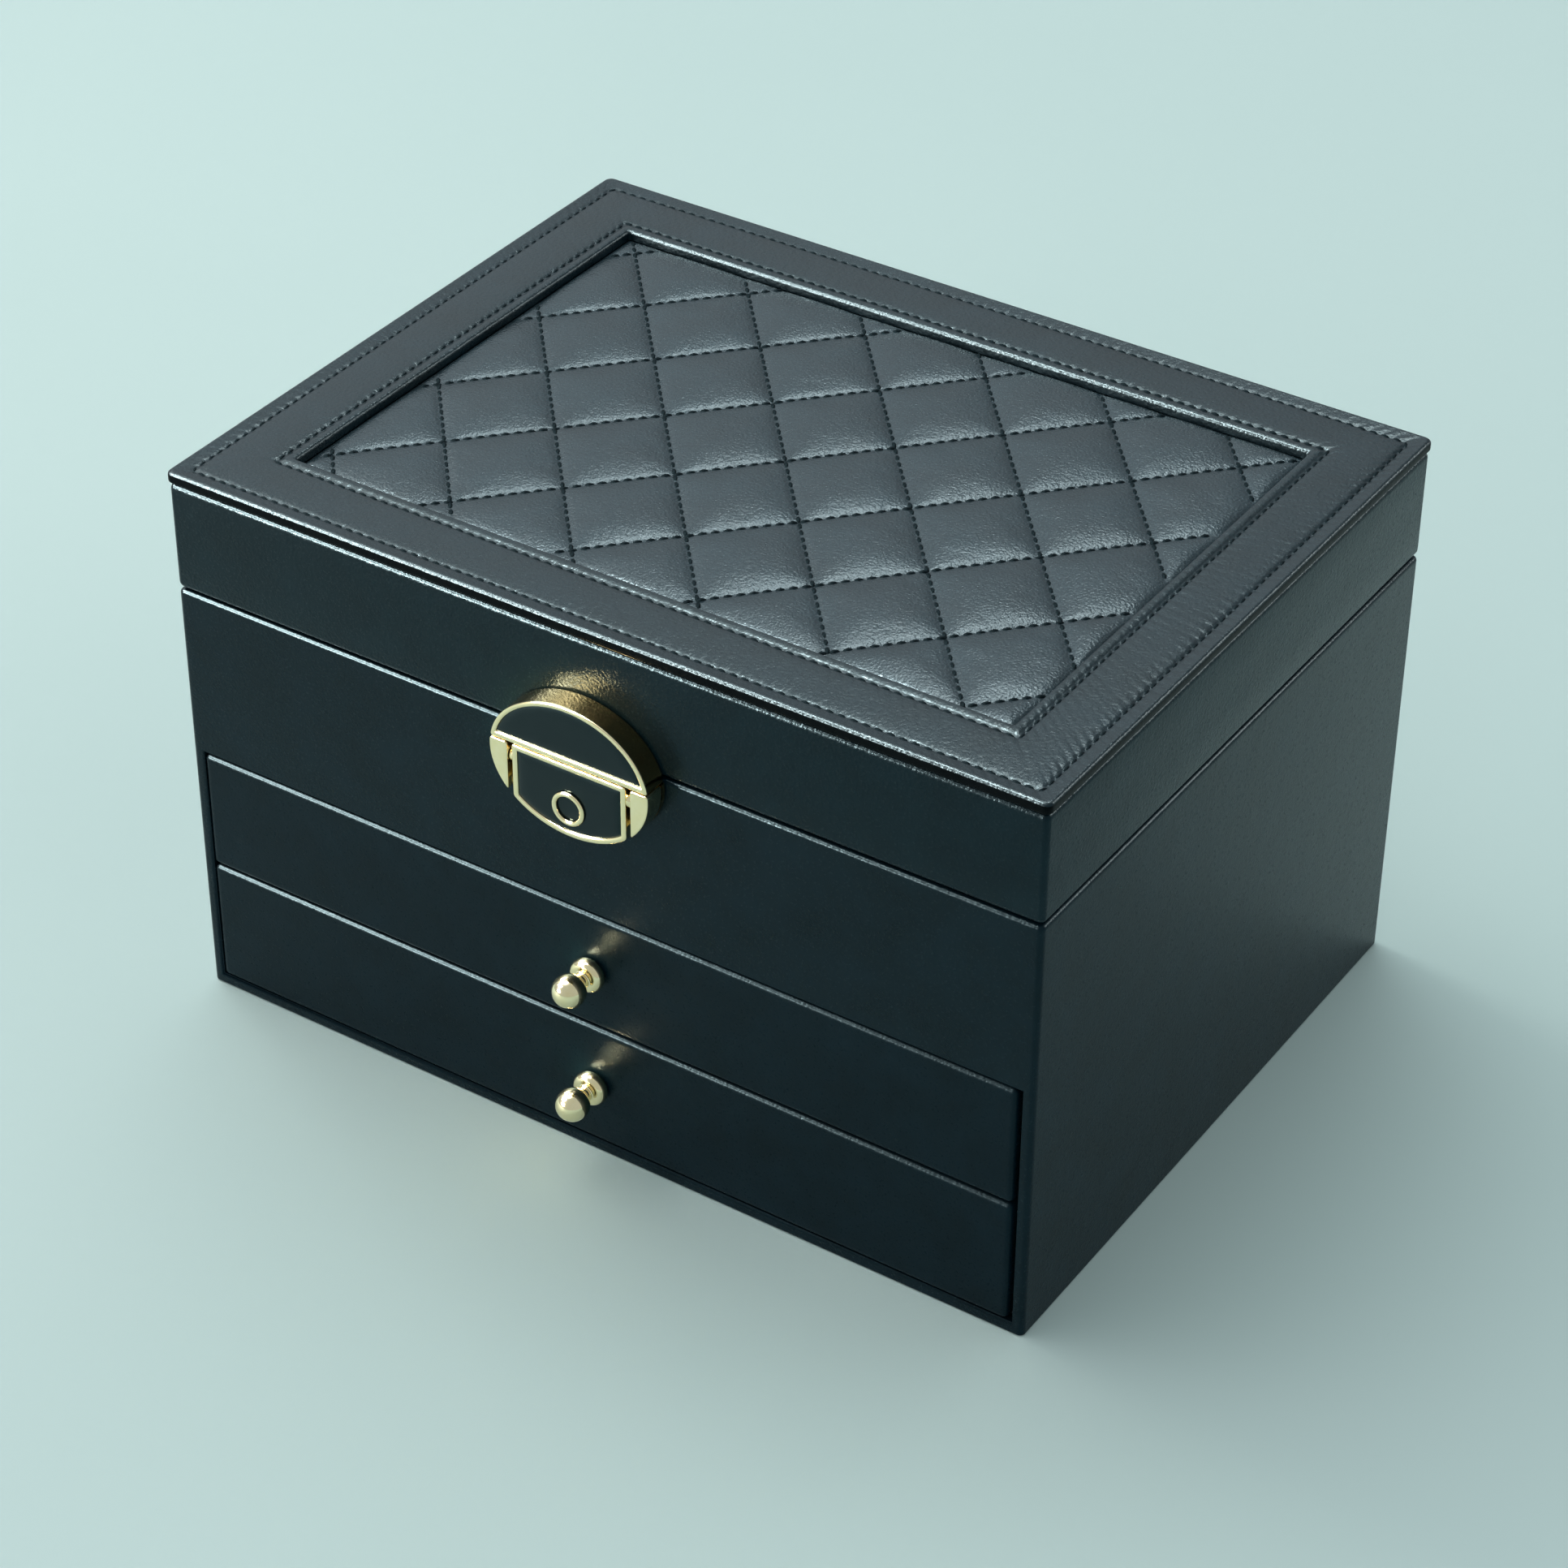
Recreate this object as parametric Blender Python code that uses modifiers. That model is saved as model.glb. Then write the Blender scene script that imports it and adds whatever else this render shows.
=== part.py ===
"""Jewelry box: a leather-covered case with a quilted lid, an open tray, two drawers and a press latch.

Metres, +Z up. The origin is the centre of the underside; the front of the box faces -Y.
"""
import math

import bmesh
import bpy
from mathutils import Matrix, Vector

for old_object in list(bpy.data.objects):
    bpy.data.objects.remove(old_object)

# Carcase
BOX_WIDTH = 0.260
BOX_DEPTH = 0.194
BODY_HEIGHT = 0.1285
SIDE_BOARD = 0.0034
FRONT_BOARD = 0.0034
BACK_BOARD = 0.0034
BASE_BOARD = 0.0031
SHELF_BOARD = 0.0024
TRAY_BOARD = 0.0028
CORNER_RADIUS = 0.0016
EDGE_RADIUS = 0.0007

# Clearances
GLUE_GAP = 0.0003
SEAM_GAP = 0.0005
OVERRUN = 0.002
WELD_DISTANCE = 0.00002

# Drawers, from the bottom board up
LOWER_FRONT_HEIGHT = 0.0376
UPPER_FRONT_HEIGHT = 0.0358
DRAWER_FRONT_GAP = 0.0006
DRAWER_FRONT_BOARD = 0.005
DRAWER_GAP_LEFT = 0.0004
DRAWER_GAP_RIGHT = 0.0014
DRAWER_SIDE_INSET = 0.0004
DRAWER_SIDE_BOARD = 0.0028
DRAWER_BASE_BOARD = 0.002
DRAWER_LENGTH = 0.185
DRAWER_TOP_CLEARANCE = 0.0012
DRAWER_DIVIDER_BOARD = 0.0022
DRAWER_DIVIDER_DROP = 0.006
SHELF_FRONT_CLEARANCE = 0.001

# Drawer knobs, outwards from the drawer's face, and their screws
KNOB_COLLAR_RADIUS = 0.0049
KNOB_COLLAR_LENGTH = 0.0040
KNOB_COLLAR_EDGE = 0.0005
KNOB_NECK_RADIUS = 0.0021
KNOB_BALL_RADIUS = 0.0046
KNOB_LENGTH = 0.0143
KNOB_BORE_RADIUS = 0.0017
KNOB_BORE_DEPTH = 0.0055
KNOB_SCREW_RADIUS = 0.0014
KNOB_SCREW_HEAD_RADIUS = 0.0031
KNOB_SCREW_HEAD_HEIGHT = 0.0016

# Tray under the lid
TRAY_DIVIDER_BOARD = 0.0024
TRAY_DIVIDER_DROP = 0.0111
TRAY_LEFT_WIDTH = 0.088
TRAY_LEFT_SPLIT = 0.0
TRAY_RIGHT_SPLIT = 0.012
RING_BED_HEIGHT = 0.021
RING_ROLL_COUNT = 6
RING_ROLL_GAP = 0.0005
RING_ROLL_HEIGHT = 0.0155
RING_ROLL_END = 0.0035

# Lid
LID_HEIGHT = 0.035
LID_BOARD = 0.0034
BORDER_THICKNESS = 0.0032
BORDER_WIDTH = 0.0237
BORDER_OVERHANG = 0.0004
BORDER_EDGE_RADIUS = 0.0012
LID_TOP_BOARD = 0.0034
LID_LINING_THICKNESS = 0.0014
MIRROR_WIDTH = 0.196
MIRROR_DEPTH = 0.134
MIRROR_THICKNESS = 0.002

# Quilted pad: the stitched lines rise to the right and fall to the right
QUILT_RISING_PITCH = 0.0290
QUILT_FALLING_PITCH = 0.0295
QUILT_RISING_ANGLE = math.radians(46.9)
QUILT_FALLING_ANGLE = math.radians(-49.9)
QUILT_NODE_X = -0.0041
QUILT_NODE_Y = -0.0024
QUILT_SEAM_HEIGHT = 0.0007
QUILT_CROWN = 0.0018
QUILT_EDGE_ROLL = 0.007
QUILT_DRAW_IN = 0.0006
QUILT_CELL_STEPS = 4

# Oval latch on the front: an ellipse split close to the seam of the lid
LATCH_HALF_WIDTH = 0.0238
LATCH_HALF_HEIGHT = 0.0192
LATCH_DEPTH = 0.0078
LATCH_CENTRE_DROP = 0.0028
LATCH_PLATE_THICKNESS = 0.0012
LATCH_TOP_GAP = 0.0006
LATCH_SPLIT_GAP = 0.0004
HALF_MOON_RIM = 0.0014
FLAP_HALF_WIDTH = 0.0171
FLAP_THICKNESS = 0.0036
FLAP_RIM = 0.0019
FLAP_PIVOT_DROP = 0.005
FLAP_PIVOT_INSET = 0.0025
FLAP_BARREL_RADIUS = 0.0021
EAR_GAP = 0.0014
LATCH_PIN_RADIUS = 0.0008
LATCH_PIN_SOCKET = 0.0026
INLAY_POCKET_DEPTH = 0.0008
INLAY_THICKNESS = 0.0004
EMBLEM_DROP = 0.0133
EMBLEM_RADIUS = 0.0050
EMBLEM_BAND = 0.0013
EMBLEM_THICKNESS = 0.0006
CATCH_WIDTH = 0.012
CATCH_THICKNESS = 0.0011
CATCH_REACH = 0.0034
CATCH_NOSE = 0.0005
CATCH_NOSE_HEIGHT = 0.0011
SPRING_WIDTH = 0.005
SPRING_THICKNESS = 0.0003
SPRING_FOOT = 0.006
SPRING_RISE = 0.0012
SPRING_TIP = 0.003
SPRING_FOOT_DROP = 0.0115

# Two butt hinges outside the back
HINGE_WIDTH = 0.024
HINGE_OFFSET = 0.078
HINGE_LEAF_THICKNESS = 0.0008
HINGE_LEAF_HEIGHT = 0.0145
HINGE_BARREL_RADIUS = 0.0015
HINGE_BORE_RADIUS = 0.0010
HINGE_PIN_RADIUS = 0.0007
HINGE_MIDDLE_KNUCKLE = 0.0086
HINGE_PIN_HEAD_RADIUS = 0.0012
HINGE_PIN_HEAD_LENGTH = 0.0006

# Segment counts, angles and shares
EDGE_SEGMENTS = 2
CORNER_SEGMENTS = 4
KNOB_STEPS = 20
BALL_STEPS = 10
SMALL_STEPS = 16
ARC_STEPS = 14
ROLL_SIDES = 12
ROLL_RINGS = 8
SHARP_EDGE_ANGLE = math.radians(60)
SMOOTH_ANGLE = math.radians(40)
EQUATOR_BAND = math.radians(1)
PILLOW_POWER = 0.6
THIN_EDGE_SHARE = 0.25
ROUND_PROFILE_SHARE = 0.5

# Levels and planes that the pieces share
FRONT_FACE = -BOX_DEPTH / 2
BACK_FACE = BOX_DEPTH / 2
INNER_SIDE = BOX_WIDTH / 2 - SIDE_BOARD
INNER_BACK = BACK_FACE - BACK_BOARD
LOWER_FRONT_BASE = BASE_BOARD + GLUE_GAP
UPPER_FRONT_BASE = LOWER_FRONT_BASE + LOWER_FRONT_HEIGHT + DRAWER_FRONT_GAP
BAND_BASE = UPPER_FRONT_BASE + UPPER_FRONT_HEIGHT + DRAWER_FRONT_GAP
TRAY_FLOOR_BASE = BAND_BASE + DRAWER_FRONT_GAP
TRAY_FLOOR_TOP = TRAY_FLOOR_BASE + TRAY_BOARD
SHELF_TOP = UPPER_FRONT_BASE
SHELF_BASE = SHELF_TOP - SHELF_BOARD
LID_BASE = BODY_HEIGHT + SEAM_GAP
LID_TOP = LID_BASE + LID_HEIGHT
BORDER_BASE = LID_TOP - BORDER_THICKNESS
LID_WALL_TOP = BORDER_BASE - GLUE_GAP
LID_INNER_SIDE = BOX_WIDTH / 2 - LID_BOARD
LID_INNER_BACK = BOX_DEPTH / 2 - LID_BOARD
RECESS_HALF_WIDTH = BOX_WIDTH / 2 + BORDER_OVERHANG - BORDER_WIDTH
RECESS_HALF_DEPTH = BOX_DEPTH / 2 + BORDER_OVERHANG - BORDER_WIDTH
LATCH_CENTRE_Z = BODY_HEIGHT - LATCH_CENTRE_DROP
LATCH_BACK = FRONT_FACE - GLUE_GAP
LATCH_FRONT = FRONT_FACE - LATCH_DEPTH
LATCH_BODY_TOP = BODY_HEIGHT - LATCH_TOP_GAP
HALF_MOON_BASE = LATCH_BODY_TOP + LATCH_SPLIT_GAP
FLAP_BACK = LATCH_FRONT + FLAP_THICKNESS
FLAP_PIVOT_Y = LATCH_FRONT + FLAP_PIVOT_INSET
FLAP_PIVOT_Z = BODY_HEIGHT - FLAP_PIVOT_DROP
PLATE_FRONT = LATCH_BACK - LATCH_PLATE_THICKNESS
HINGE_AXIS_Y = BACK_FACE + GLUE_GAP + HINGE_BARREL_RADIUS
HINGE_AXIS_Z = BODY_HEIGHT + SEAM_GAP / 2

# The pieces' collection is named for the object; the cutters aren't part of it
PIECES = bpy.data.collections.new("jewelry_box")
CUTTERS = bpy.data.collections.new("cutters")
bpy.context.scene.collection.children.link(PIECES)
bpy.context.scene.collection.children.link(CUTTERS)

# Finishes: colour as sRGB hex, roughness, metallic
LEATHER = ("#26323A", 0.42, 0.0)
QUILT_LEATHER = ("#2C3841", 0.40, 0.0)
GOLD = ("#D9B96A", 0.16, 1.0)
BLACK_ENAMEL = ("#11161A", 0.22, 0.0)
VELVET = ("#4A4E55", 0.95, 0.0)
STEEL = ("#A9ABAD", 0.30, 1.0)
MIRROR_GLASS = ("#DDE3E6", 0.04, 1.0)


def linear_colour(hex_text):
    """The linear RGBA of an sRGB colour such as #26323A."""
    channels = [int(hex_text[start:start + 2], 16) / 255 for start in (1, 3, 5)]
    linear = [c / 12.92 if c <= 0.04045 else ((c + 0.055) / 1.055) ** 2.4 for c in channels]
    return (*linear, 1.0)


def make_material(name, finish):
    """A Principled material of one piece, from its finish."""
    colour, roughness, metallic = finish
    material = bpy.data.materials.new(name + "_finish")
    material.use_nodes = True
    shader = material.node_tree.nodes["Principled BSDF"]
    shader.inputs["Base Color"].default_value = linear_colour(colour)
    shader.inputs["Roughness"].default_value = roughness
    shader.inputs["Metallic"].default_value = metallic
    material.diffuse_color = linear_colour(colour)
    return material


def add_piece(name, mesh, finish, location=(0, 0, 0)):
    """Put a mesh in the box's collection as a named piece with its own material."""
    mesh.name = name
    mesh.materials.clear()
    mesh.materials.append(make_material(name, finish))
    piece = bpy.data.objects.new(name, mesh)
    piece.location = location
    PIECES.objects.link(piece)
    return piece


def add_cutter(name, mesh):
    """Put a mesh among the cutters, which aren't part of the box."""
    cutter = bpy.data.objects.new(name, mesh)
    cutter.hide_render = True
    cutter.display_type = "WIRE"
    CUTTERS.objects.link(cutter)
    return cutter


def combine(piece, cutter, operation):
    """Join a cutter to a piece, or take it away, with an exact Boolean."""
    modifier = piece.modifiers.new(operation.lower() + "_" + cutter.name, "BOOLEAN")
    modifier.operation = operation
    modifier.solver = "EXACT"
    modifier.object = cutter


def box_mesh(name, x_range, y_range, z_range):
    """A box mesh between three pairs of planes, centred on its own origin, and its centre."""
    ranges = (x_range, y_range, z_range)
    size = [high - low for low, high in ranges]
    centre = [(high + low) / 2 for low, high in ranges]
    shape = bmesh.new()
    bmesh.ops.create_cube(shape, size=1.0, matrix=Matrix.Diagonal((*size, 1.0)))
    mesh = bpy.data.meshes.new(name)
    shape.to_mesh(mesh)
    shape.free()
    return mesh, centre


def board(name, x_range, y_range, z_range, finish, radius=EDGE_RADIUS, upright_side=0):
    """A board with eased edges; upright_side is -1 or 1 where its outer upright edges are corners."""
    mesh, centre = box_mesh(name, x_range, y_range, z_range)
    if upright_side:
        round_uprights(mesh, upright_side)
    piece = add_piece(name, mesh, finish, centre)
    bevel = piece.modifiers.new("eased_edges", "BEVEL")
    bevel.width = radius
    bevel.segments = EDGE_SEGMENTS
    bevel.limit_method = "ANGLE"
    bevel.angle_limit = SHARP_EDGE_ANGLE
    return piece


def round_uprights(mesh, side):
    """Round the two upright edges of a box mesh on one side of X to the carcase's corner radius."""
    shape = bmesh.new()
    shape.from_mesh(mesh)
    uprights = []
    for edge in shape.edges:
        first, second = (vertex.co for vertex in edge.verts)
        if abs(first.z - second.z) > CORNER_RADIUS and min(first.x * side, second.x * side) > 0:
            uprights.append(edge)
    bmesh.ops.bevel(shape, geom=uprights, offset=CORNER_RADIUS, segments=CORNER_SEGMENTS,
                    profile=ROUND_PROFILE_SHARE, affect="EDGES")
    shape.to_mesh(mesh)
    shape.free()


def cylinder_mesh(name, radius, length, centre, axis, steps=SMALL_STEPS):
    """A closed cylinder about an axis named X, Y or Z."""
    turns = {"X": Matrix.Rotation(math.pi / 2, 4, "Y"), "Y": Matrix.Rotation(math.pi / 2, 4, "X"),
             "Z": Matrix.Identity(4)}
    shape = bmesh.new()
    bmesh.ops.create_cone(shape, cap_ends=True, segments=steps, radius1=radius, radius2=radius,
                          depth=length, matrix=Matrix.Translation(centre) @ turns[axis])
    mesh = bpy.data.meshes.new(name)
    shape.to_mesh(mesh)
    shape.free()
    return mesh


def outline_mesh(name, points, thickness, matrix):
    """A flat outline given its thickness: a filled 2D curve made a welded mesh and then placed."""
    curve = bpy.data.curves.new(name, "CURVE")
    curve.dimensions = "2D"
    curve.fill_mode = "BOTH"
    curve.extrude = thickness / 2
    spline = curve.splines.new("POLY")
    spline.points.add(len(points) - 1)
    for spline_point, (x, y) in zip(spline.points, points):
        spline_point.co = (x, y, 0, 1)
    spline.use_cyclic_u = True
    holder = bpy.data.objects.new(name, curve)
    CUTTERS.objects.link(holder)
    bpy.context.view_layer.update()
    evaluated = holder.evaluated_get(bpy.context.evaluated_depsgraph_get())
    mesh = bpy.data.meshes.new_from_object(evaluated)
    bpy.data.objects.remove(holder)
    shape = bmesh.new()
    shape.from_mesh(mesh)
    bmesh.ops.remove_doubles(shape, verts=shape.verts[:], dist=WELD_DISTANCE)
    bmesh.ops.transform(shape, matrix=matrix, verts=shape.verts[:])
    bmesh.ops.recalc_face_normals(shape, faces=shape.faces[:])
    shape.to_mesh(mesh)
    shape.free()
    return mesh


def front_plate(name, points, y_front, y_back):
    """An outline in X and Z that faces the front, between two planes of Y."""
    upright = Matrix.Rotation(math.pi / 2, 4, "X")
    place = Matrix.Translation((0, (y_front + y_back) / 2, 0))
    return outline_mesh(name, points, y_back - y_front, place @ upright)


def side_plate(name, points, x_low, x_high):
    """An outline in Y and Z, between two planes of X."""
    turn = Matrix(((0, 0, 1, 0), (1, 0, 0, 0), (0, 1, 0, 0), (0, 0, 0, 1)))
    place = Matrix.Translation(((x_low + x_high) / 2, 0, 0))
    return outline_mesh(name, points, x_high - x_low, place @ turn)


def turned_piece(name, profile, finish, location, steps, matrix=Matrix.Rotation(math.pi / 2, 4, "X")):
    """A turned piece whose profile of (radius, height) runs down its outer side; it points to -Y."""
    mesh = bpy.data.meshes.new(name)
    edges = [(index, index + 1) for index in range(len(profile) - 1)]
    mesh.from_pydata([(radius, 0, height) for radius, height in profile], edges, [])
    piece = add_piece(name, mesh, finish, location)
    piece.rotation_euler = matrix.to_euler()
    screw = piece.modifiers.new("turn", "SCREW")
    screw.axis = "Z"
    screw.steps = steps
    screw.render_steps = steps
    screw.use_merge_vertices = True
    screw.merge_threshold = WELD_DISTANCE
    return piece


def arc_points(centre, radii, start, end, steps):
    """Points along an ellipse's arc, from a start to an end angle in radians."""
    turns = [start + (end - start) * step / steps for step in range(steps + 1)]
    return [(centre[0] + radii[0] * math.cos(turn), centre[1] + radii[1] * math.sin(turn))
            for turn in turns]


def body_axis(name, location):
    """An empty on a joint's axis, which carries the pieces that move together."""
    empty = bpy.data.objects.new(name, None)
    empty.location = location
    PIECES.objects.link(empty)
    return empty


def carry(empty, pieces):
    """Parent pieces to an empty without moving them."""
    for piece in pieces:
        piece.parent = empty
        piece.matrix_parent_inverse = Matrix.Translation(empty.location).inverted()


def smooth(piece):
    """Shade a round piece smooth, with its real edges kept sharp."""
    piece.data.shade_smooth()
    piece.data.set_sharp_from_angle(angle=SMOOTH_ANGLE)


def build_carcase():
    """The boards of the case: sides, back, band above the drawers, base, shelf and tray floor."""
    for side, word in ((-1, "left"), (1, "right")):
        x_range = sorted((side * INNER_SIDE, side * BOX_WIDTH / 2))
        board("side_wall_" + word, x_range, (FRONT_FACE, BACK_FACE), (0, BODY_HEIGHT), LEATHER,
              upright_side=side)
    between = (-INNER_SIDE + GLUE_GAP, INNER_SIDE - GLUE_GAP)
    board("back_wall", between, (INNER_BACK, BACK_FACE), (0, BODY_HEIGHT), LEATHER)
    board("front_band_panel", between, (FRONT_FACE, FRONT_FACE + FRONT_BOARD),
          (BAND_BASE, BODY_HEIGHT), LEATHER)
    board("bottom_board", between, (FRONT_FACE, INNER_BACK - GLUE_GAP), (0, BASE_BOARD), LEATHER)
    shelf_front = FRONT_FACE + DRAWER_FRONT_BOARD + SHELF_FRONT_CLEARANCE
    board("drawer_shelf", between, (shelf_front, INNER_BACK - GLUE_GAP), (SHELF_BASE, SHELF_TOP),
          VELVET)
    tray_front = FRONT_FACE + FRONT_BOARD + GLUE_GAP
    board("tray_floor", between, (tray_front, INNER_BACK - GLUE_GAP),
          (TRAY_FLOOR_BASE, TRAY_FLOOR_TOP), VELVET)


def build_tray():
    """Dividers of the tray, and the bed of ring rolls in its front left compartment."""
    low = TRAY_FLOOR_TOP + GLUE_GAP
    high = BODY_HEIGHT - TRAY_DIVIDER_DROP
    front = FRONT_FACE + FRONT_BOARD + GLUE_GAP
    back = INNER_BACK - GLUE_GAP
    left = -INNER_SIDE + GLUE_GAP
    right = INNER_SIDE - GLUE_GAP
    long_low = left + TRAY_LEFT_WIDTH
    long_high = long_low + TRAY_DIVIDER_BOARD
    half_board = TRAY_DIVIDER_BOARD / 2
    board("tray_divider_long", (long_low, long_high), (front, back), (low, high), VELVET)
    board("tray_divider_left", (left, long_low - GLUE_GAP),
          (TRAY_LEFT_SPLIT - half_board, TRAY_LEFT_SPLIT + half_board), (low, high), VELVET)
    board("tray_divider_right", (long_high + GLUE_GAP, right),
          (TRAY_RIGHT_SPLIT - half_board, TRAY_RIGHT_SPLIT + half_board), (low, high), VELVET)
    bed_x = (left, long_low - GLUE_GAP)
    bed_y = (front, TRAY_LEFT_SPLIT - half_board - GLUE_GAP)
    bed_top = low + RING_BED_HEIGHT
    board("ring_bed", bed_x, bed_y, (low, bed_top), VELVET)
    build_ring_rolls(bed_x, bed_y, bed_top + GLUE_GAP)


def build_ring_rolls(x_range, y_range, base):
    """Padded rolls side by side from front to back; rings are pushed between them."""
    pitch = (y_range[1] - y_range[0]) / RING_ROLL_COUNT
    half_width = (pitch - RING_ROLL_GAP) / 2
    straight = (x_range[1] - x_range[0]) / 2 - RING_ROLL_END
    centre_x = (x_range[0] + x_range[1]) / 2
    for number in range(RING_ROLL_COUNT):
        shape = bmesh.new()
        bmesh.ops.create_uvsphere(shape, u_segments=ROLL_SIDES, v_segments=ROLL_RINGS, radius=1.0)
        for vertex in shape.verts:
            unit = vertex.co.copy()
            end = 0 if abs(unit.z) < EQUATOR_BAND else math.copysign(1, unit.z)
            vertex.co = (end * straight + unit.z * RING_ROLL_END, unit.x * half_width,
                         unit.y * RING_ROLL_HEIGHT / 2)
        name = "ring_roll_" + str(number + 1)
        mesh = bpy.data.meshes.new(name)
        shape.to_mesh(mesh)
        shape.free()
        centre_y = y_range[0] + (number + 0.5) * pitch
        smooth(add_piece(name, mesh, VELVET, (centre_x, centre_y, base + RING_ROLL_HEIGHT / 2)))


def build_drawer(word, base, front_height, floor, ceiling, with_divider):
    """One drawer: a leather front with its knob, and a lined box behind it."""
    left = -INNER_SIDE + DRAWER_GAP_LEFT
    right = INNER_SIDE - DRAWER_GAP_RIGHT
    front_back = FRONT_FACE + DRAWER_FRONT_BOARD
    prefix = "drawer_" + word + "_"
    front = board(prefix + "front", (left, right), (FRONT_FACE, front_back),
                  (base, base + front_height), LEATHER)
    box_left = left + DRAWER_SIDE_INSET
    box_right = right - DRAWER_SIDE_INSET
    box_front = front_back + GLUE_GAP
    box_back = box_front + DRAWER_LENGTH
    inner_left = box_left + DRAWER_SIDE_BOARD
    inner_right = box_right - DRAWER_SIDE_BOARD
    base_low = floor + GLUE_GAP
    base_high = base_low + DRAWER_BASE_BOARD
    side_z = (base_high + GLUE_GAP, ceiling - DRAWER_TOP_CLEARANCE)
    back_y = (box_back - DRAWER_SIDE_BOARD, box_back)
    inner_x = (inner_left + GLUE_GAP, inner_right - GLUE_GAP)
    pieces = [
        front,
        board(prefix + "base", (box_left, box_right), (box_front, box_back), (base_low, base_high),
              VELVET),
        board(prefix + "side_left", (box_left, inner_left), (box_front, box_back), side_z, VELVET),
        board(prefix + "side_right", (inner_right, box_right), (box_front, box_back), side_z, VELVET),
        board(prefix + "back", inner_x, back_y, side_z, VELVET),
    ]
    if with_divider:
        middle = (box_front + box_back - DRAWER_SIDE_BOARD) / 2
        divider_y = (middle - DRAWER_DIVIDER_BOARD / 2, middle + DRAWER_DIVIDER_BOARD / 2)
        divider_z = (side_z[0], side_z[1] - DRAWER_DIVIDER_DROP)
        pieces.append(board(prefix + "divider", inner_x, divider_y, divider_z, VELVET))
    knob_z = base + front_height / 2
    hole = cylinder_mesh(prefix + "screw_hole", KNOB_BORE_RADIUS, DRAWER_FRONT_BOARD + OVERRUN,
                         (0, FRONT_FACE + DRAWER_FRONT_BOARD / 2, knob_z), "Y")
    combine(front, add_cutter(prefix + "screw_hole", hole), "DIFFERENCE")
    pieces.append(build_knob(prefix, knob_z))
    pieces.append(build_knob_screw(prefix, knob_z))
    carry(body_axis(prefix + "slide", (0, FRONT_FACE, knob_z)), pieces)


def build_knob(prefix, height):
    """A turned knob: a collar against the drawer, a thin neck and a ball."""
    ball_centre = KNOB_LENGTH - KNOB_BALL_RADIUS
    neck_angle = math.asin(KNOB_NECK_RADIUS / KNOB_BALL_RADIUS) - math.pi / 2
    profile = arc_points((0, ball_centre), (KNOB_BALL_RADIUS, KNOB_BALL_RADIUS),
                         math.pi / 2, neck_angle, BALL_STEPS)
    profile[0] = (0, KNOB_LENGTH)
    profile += [
        (KNOB_NECK_RADIUS, KNOB_COLLAR_LENGTH),
        (KNOB_COLLAR_RADIUS - KNOB_COLLAR_EDGE, KNOB_COLLAR_LENGTH),
        (KNOB_COLLAR_RADIUS, KNOB_COLLAR_LENGTH - KNOB_COLLAR_EDGE),
        (KNOB_COLLAR_RADIUS, KNOB_COLLAR_EDGE),
        (KNOB_COLLAR_RADIUS - KNOB_COLLAR_EDGE, 0),
        (KNOB_BORE_RADIUS, 0),
        (KNOB_BORE_RADIUS, KNOB_BORE_DEPTH),
        (0, KNOB_BORE_DEPTH),
    ]
    place = (0, FRONT_FACE - GLUE_GAP, height)
    return turned_piece(prefix + "knob", profile, GOLD, place, KNOB_STEPS)


def build_knob_screw(prefix, height):
    """The screw that holds a knob, from inside the drawer's front."""
    reach = DRAWER_FRONT_BOARD + GLUE_GAP + KNOB_BORE_DEPTH
    profile = [
        (0, reach),
        (KNOB_SCREW_RADIUS, reach),
        (KNOB_SCREW_RADIUS, 0),
        (KNOB_SCREW_HEAD_RADIUS, 0),
        (KNOB_SCREW_HEAD_RADIUS, -KNOB_SCREW_HEAD_HEIGHT / 2),
        (KNOB_SCREW_HEAD_RADIUS / 2, -KNOB_SCREW_HEAD_HEIGHT),
        (0, -KNOB_SCREW_HEAD_HEIGHT),
    ]
    place = (0, FRONT_FACE + DRAWER_FRONT_BOARD + GLUE_GAP, height)
    return turned_piece(prefix + "knob_screw", profile, STEEL, place, SMALL_STEPS)


def build_lid():
    """The lid's walls, border, top board, lining and mirror; returns the pieces."""
    z_range = (LID_BASE, LID_WALL_TOP)
    pieces = []
    for side, word in ((-1, "left"), (1, "right")):
        x_range = sorted((side * LID_INNER_SIDE, side * BOX_WIDTH / 2))
        pieces.append(board("lid_wall_" + word, x_range, (FRONT_FACE, BACK_FACE), z_range, LEATHER,
                            upright_side=side))
    between = (-LID_INNER_SIDE + GLUE_GAP, LID_INNER_SIDE - GLUE_GAP)
    pieces.append(board("lid_wall_front", between, (FRONT_FACE, -LID_INNER_BACK), z_range, LEATHER))
    pieces.append(board("lid_wall_back", between, (LID_INNER_BACK, BACK_FACE), z_range, LEATHER))
    pieces += build_border()
    inner_y = (-LID_INNER_BACK + GLUE_GAP, LID_INNER_BACK - GLUE_GAP)
    top_z = (LID_WALL_TOP - LID_TOP_BOARD, LID_WALL_TOP)
    pieces.append(board("lid_top_board", between, inner_y, top_z, LEATHER))
    lining_z = (top_z[0] - GLUE_GAP - LID_LINING_THICKNESS, top_z[0] - GLUE_GAP)
    pieces.append(board("lid_lining_panel", between, inner_y, lining_z, VELVET,
                        radius=LID_LINING_THICKNESS * THIN_EDGE_SHARE))
    mirror_z = (lining_z[0] - GLUE_GAP - MIRROR_THICKNESS, lining_z[0] - GLUE_GAP)
    pieces.append(board("mirror", (-MIRROR_WIDTH / 2, MIRROR_WIDTH / 2),
                        (-MIRROR_DEPTH / 2, MIRROR_DEPTH / 2), mirror_z, MIRROR_GLASS,
                        radius=MIRROR_THICKNESS * THIN_EDGE_SHARE))
    pieces.append(build_quilted_pad(BORDER_BASE))
    return pieces


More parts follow.
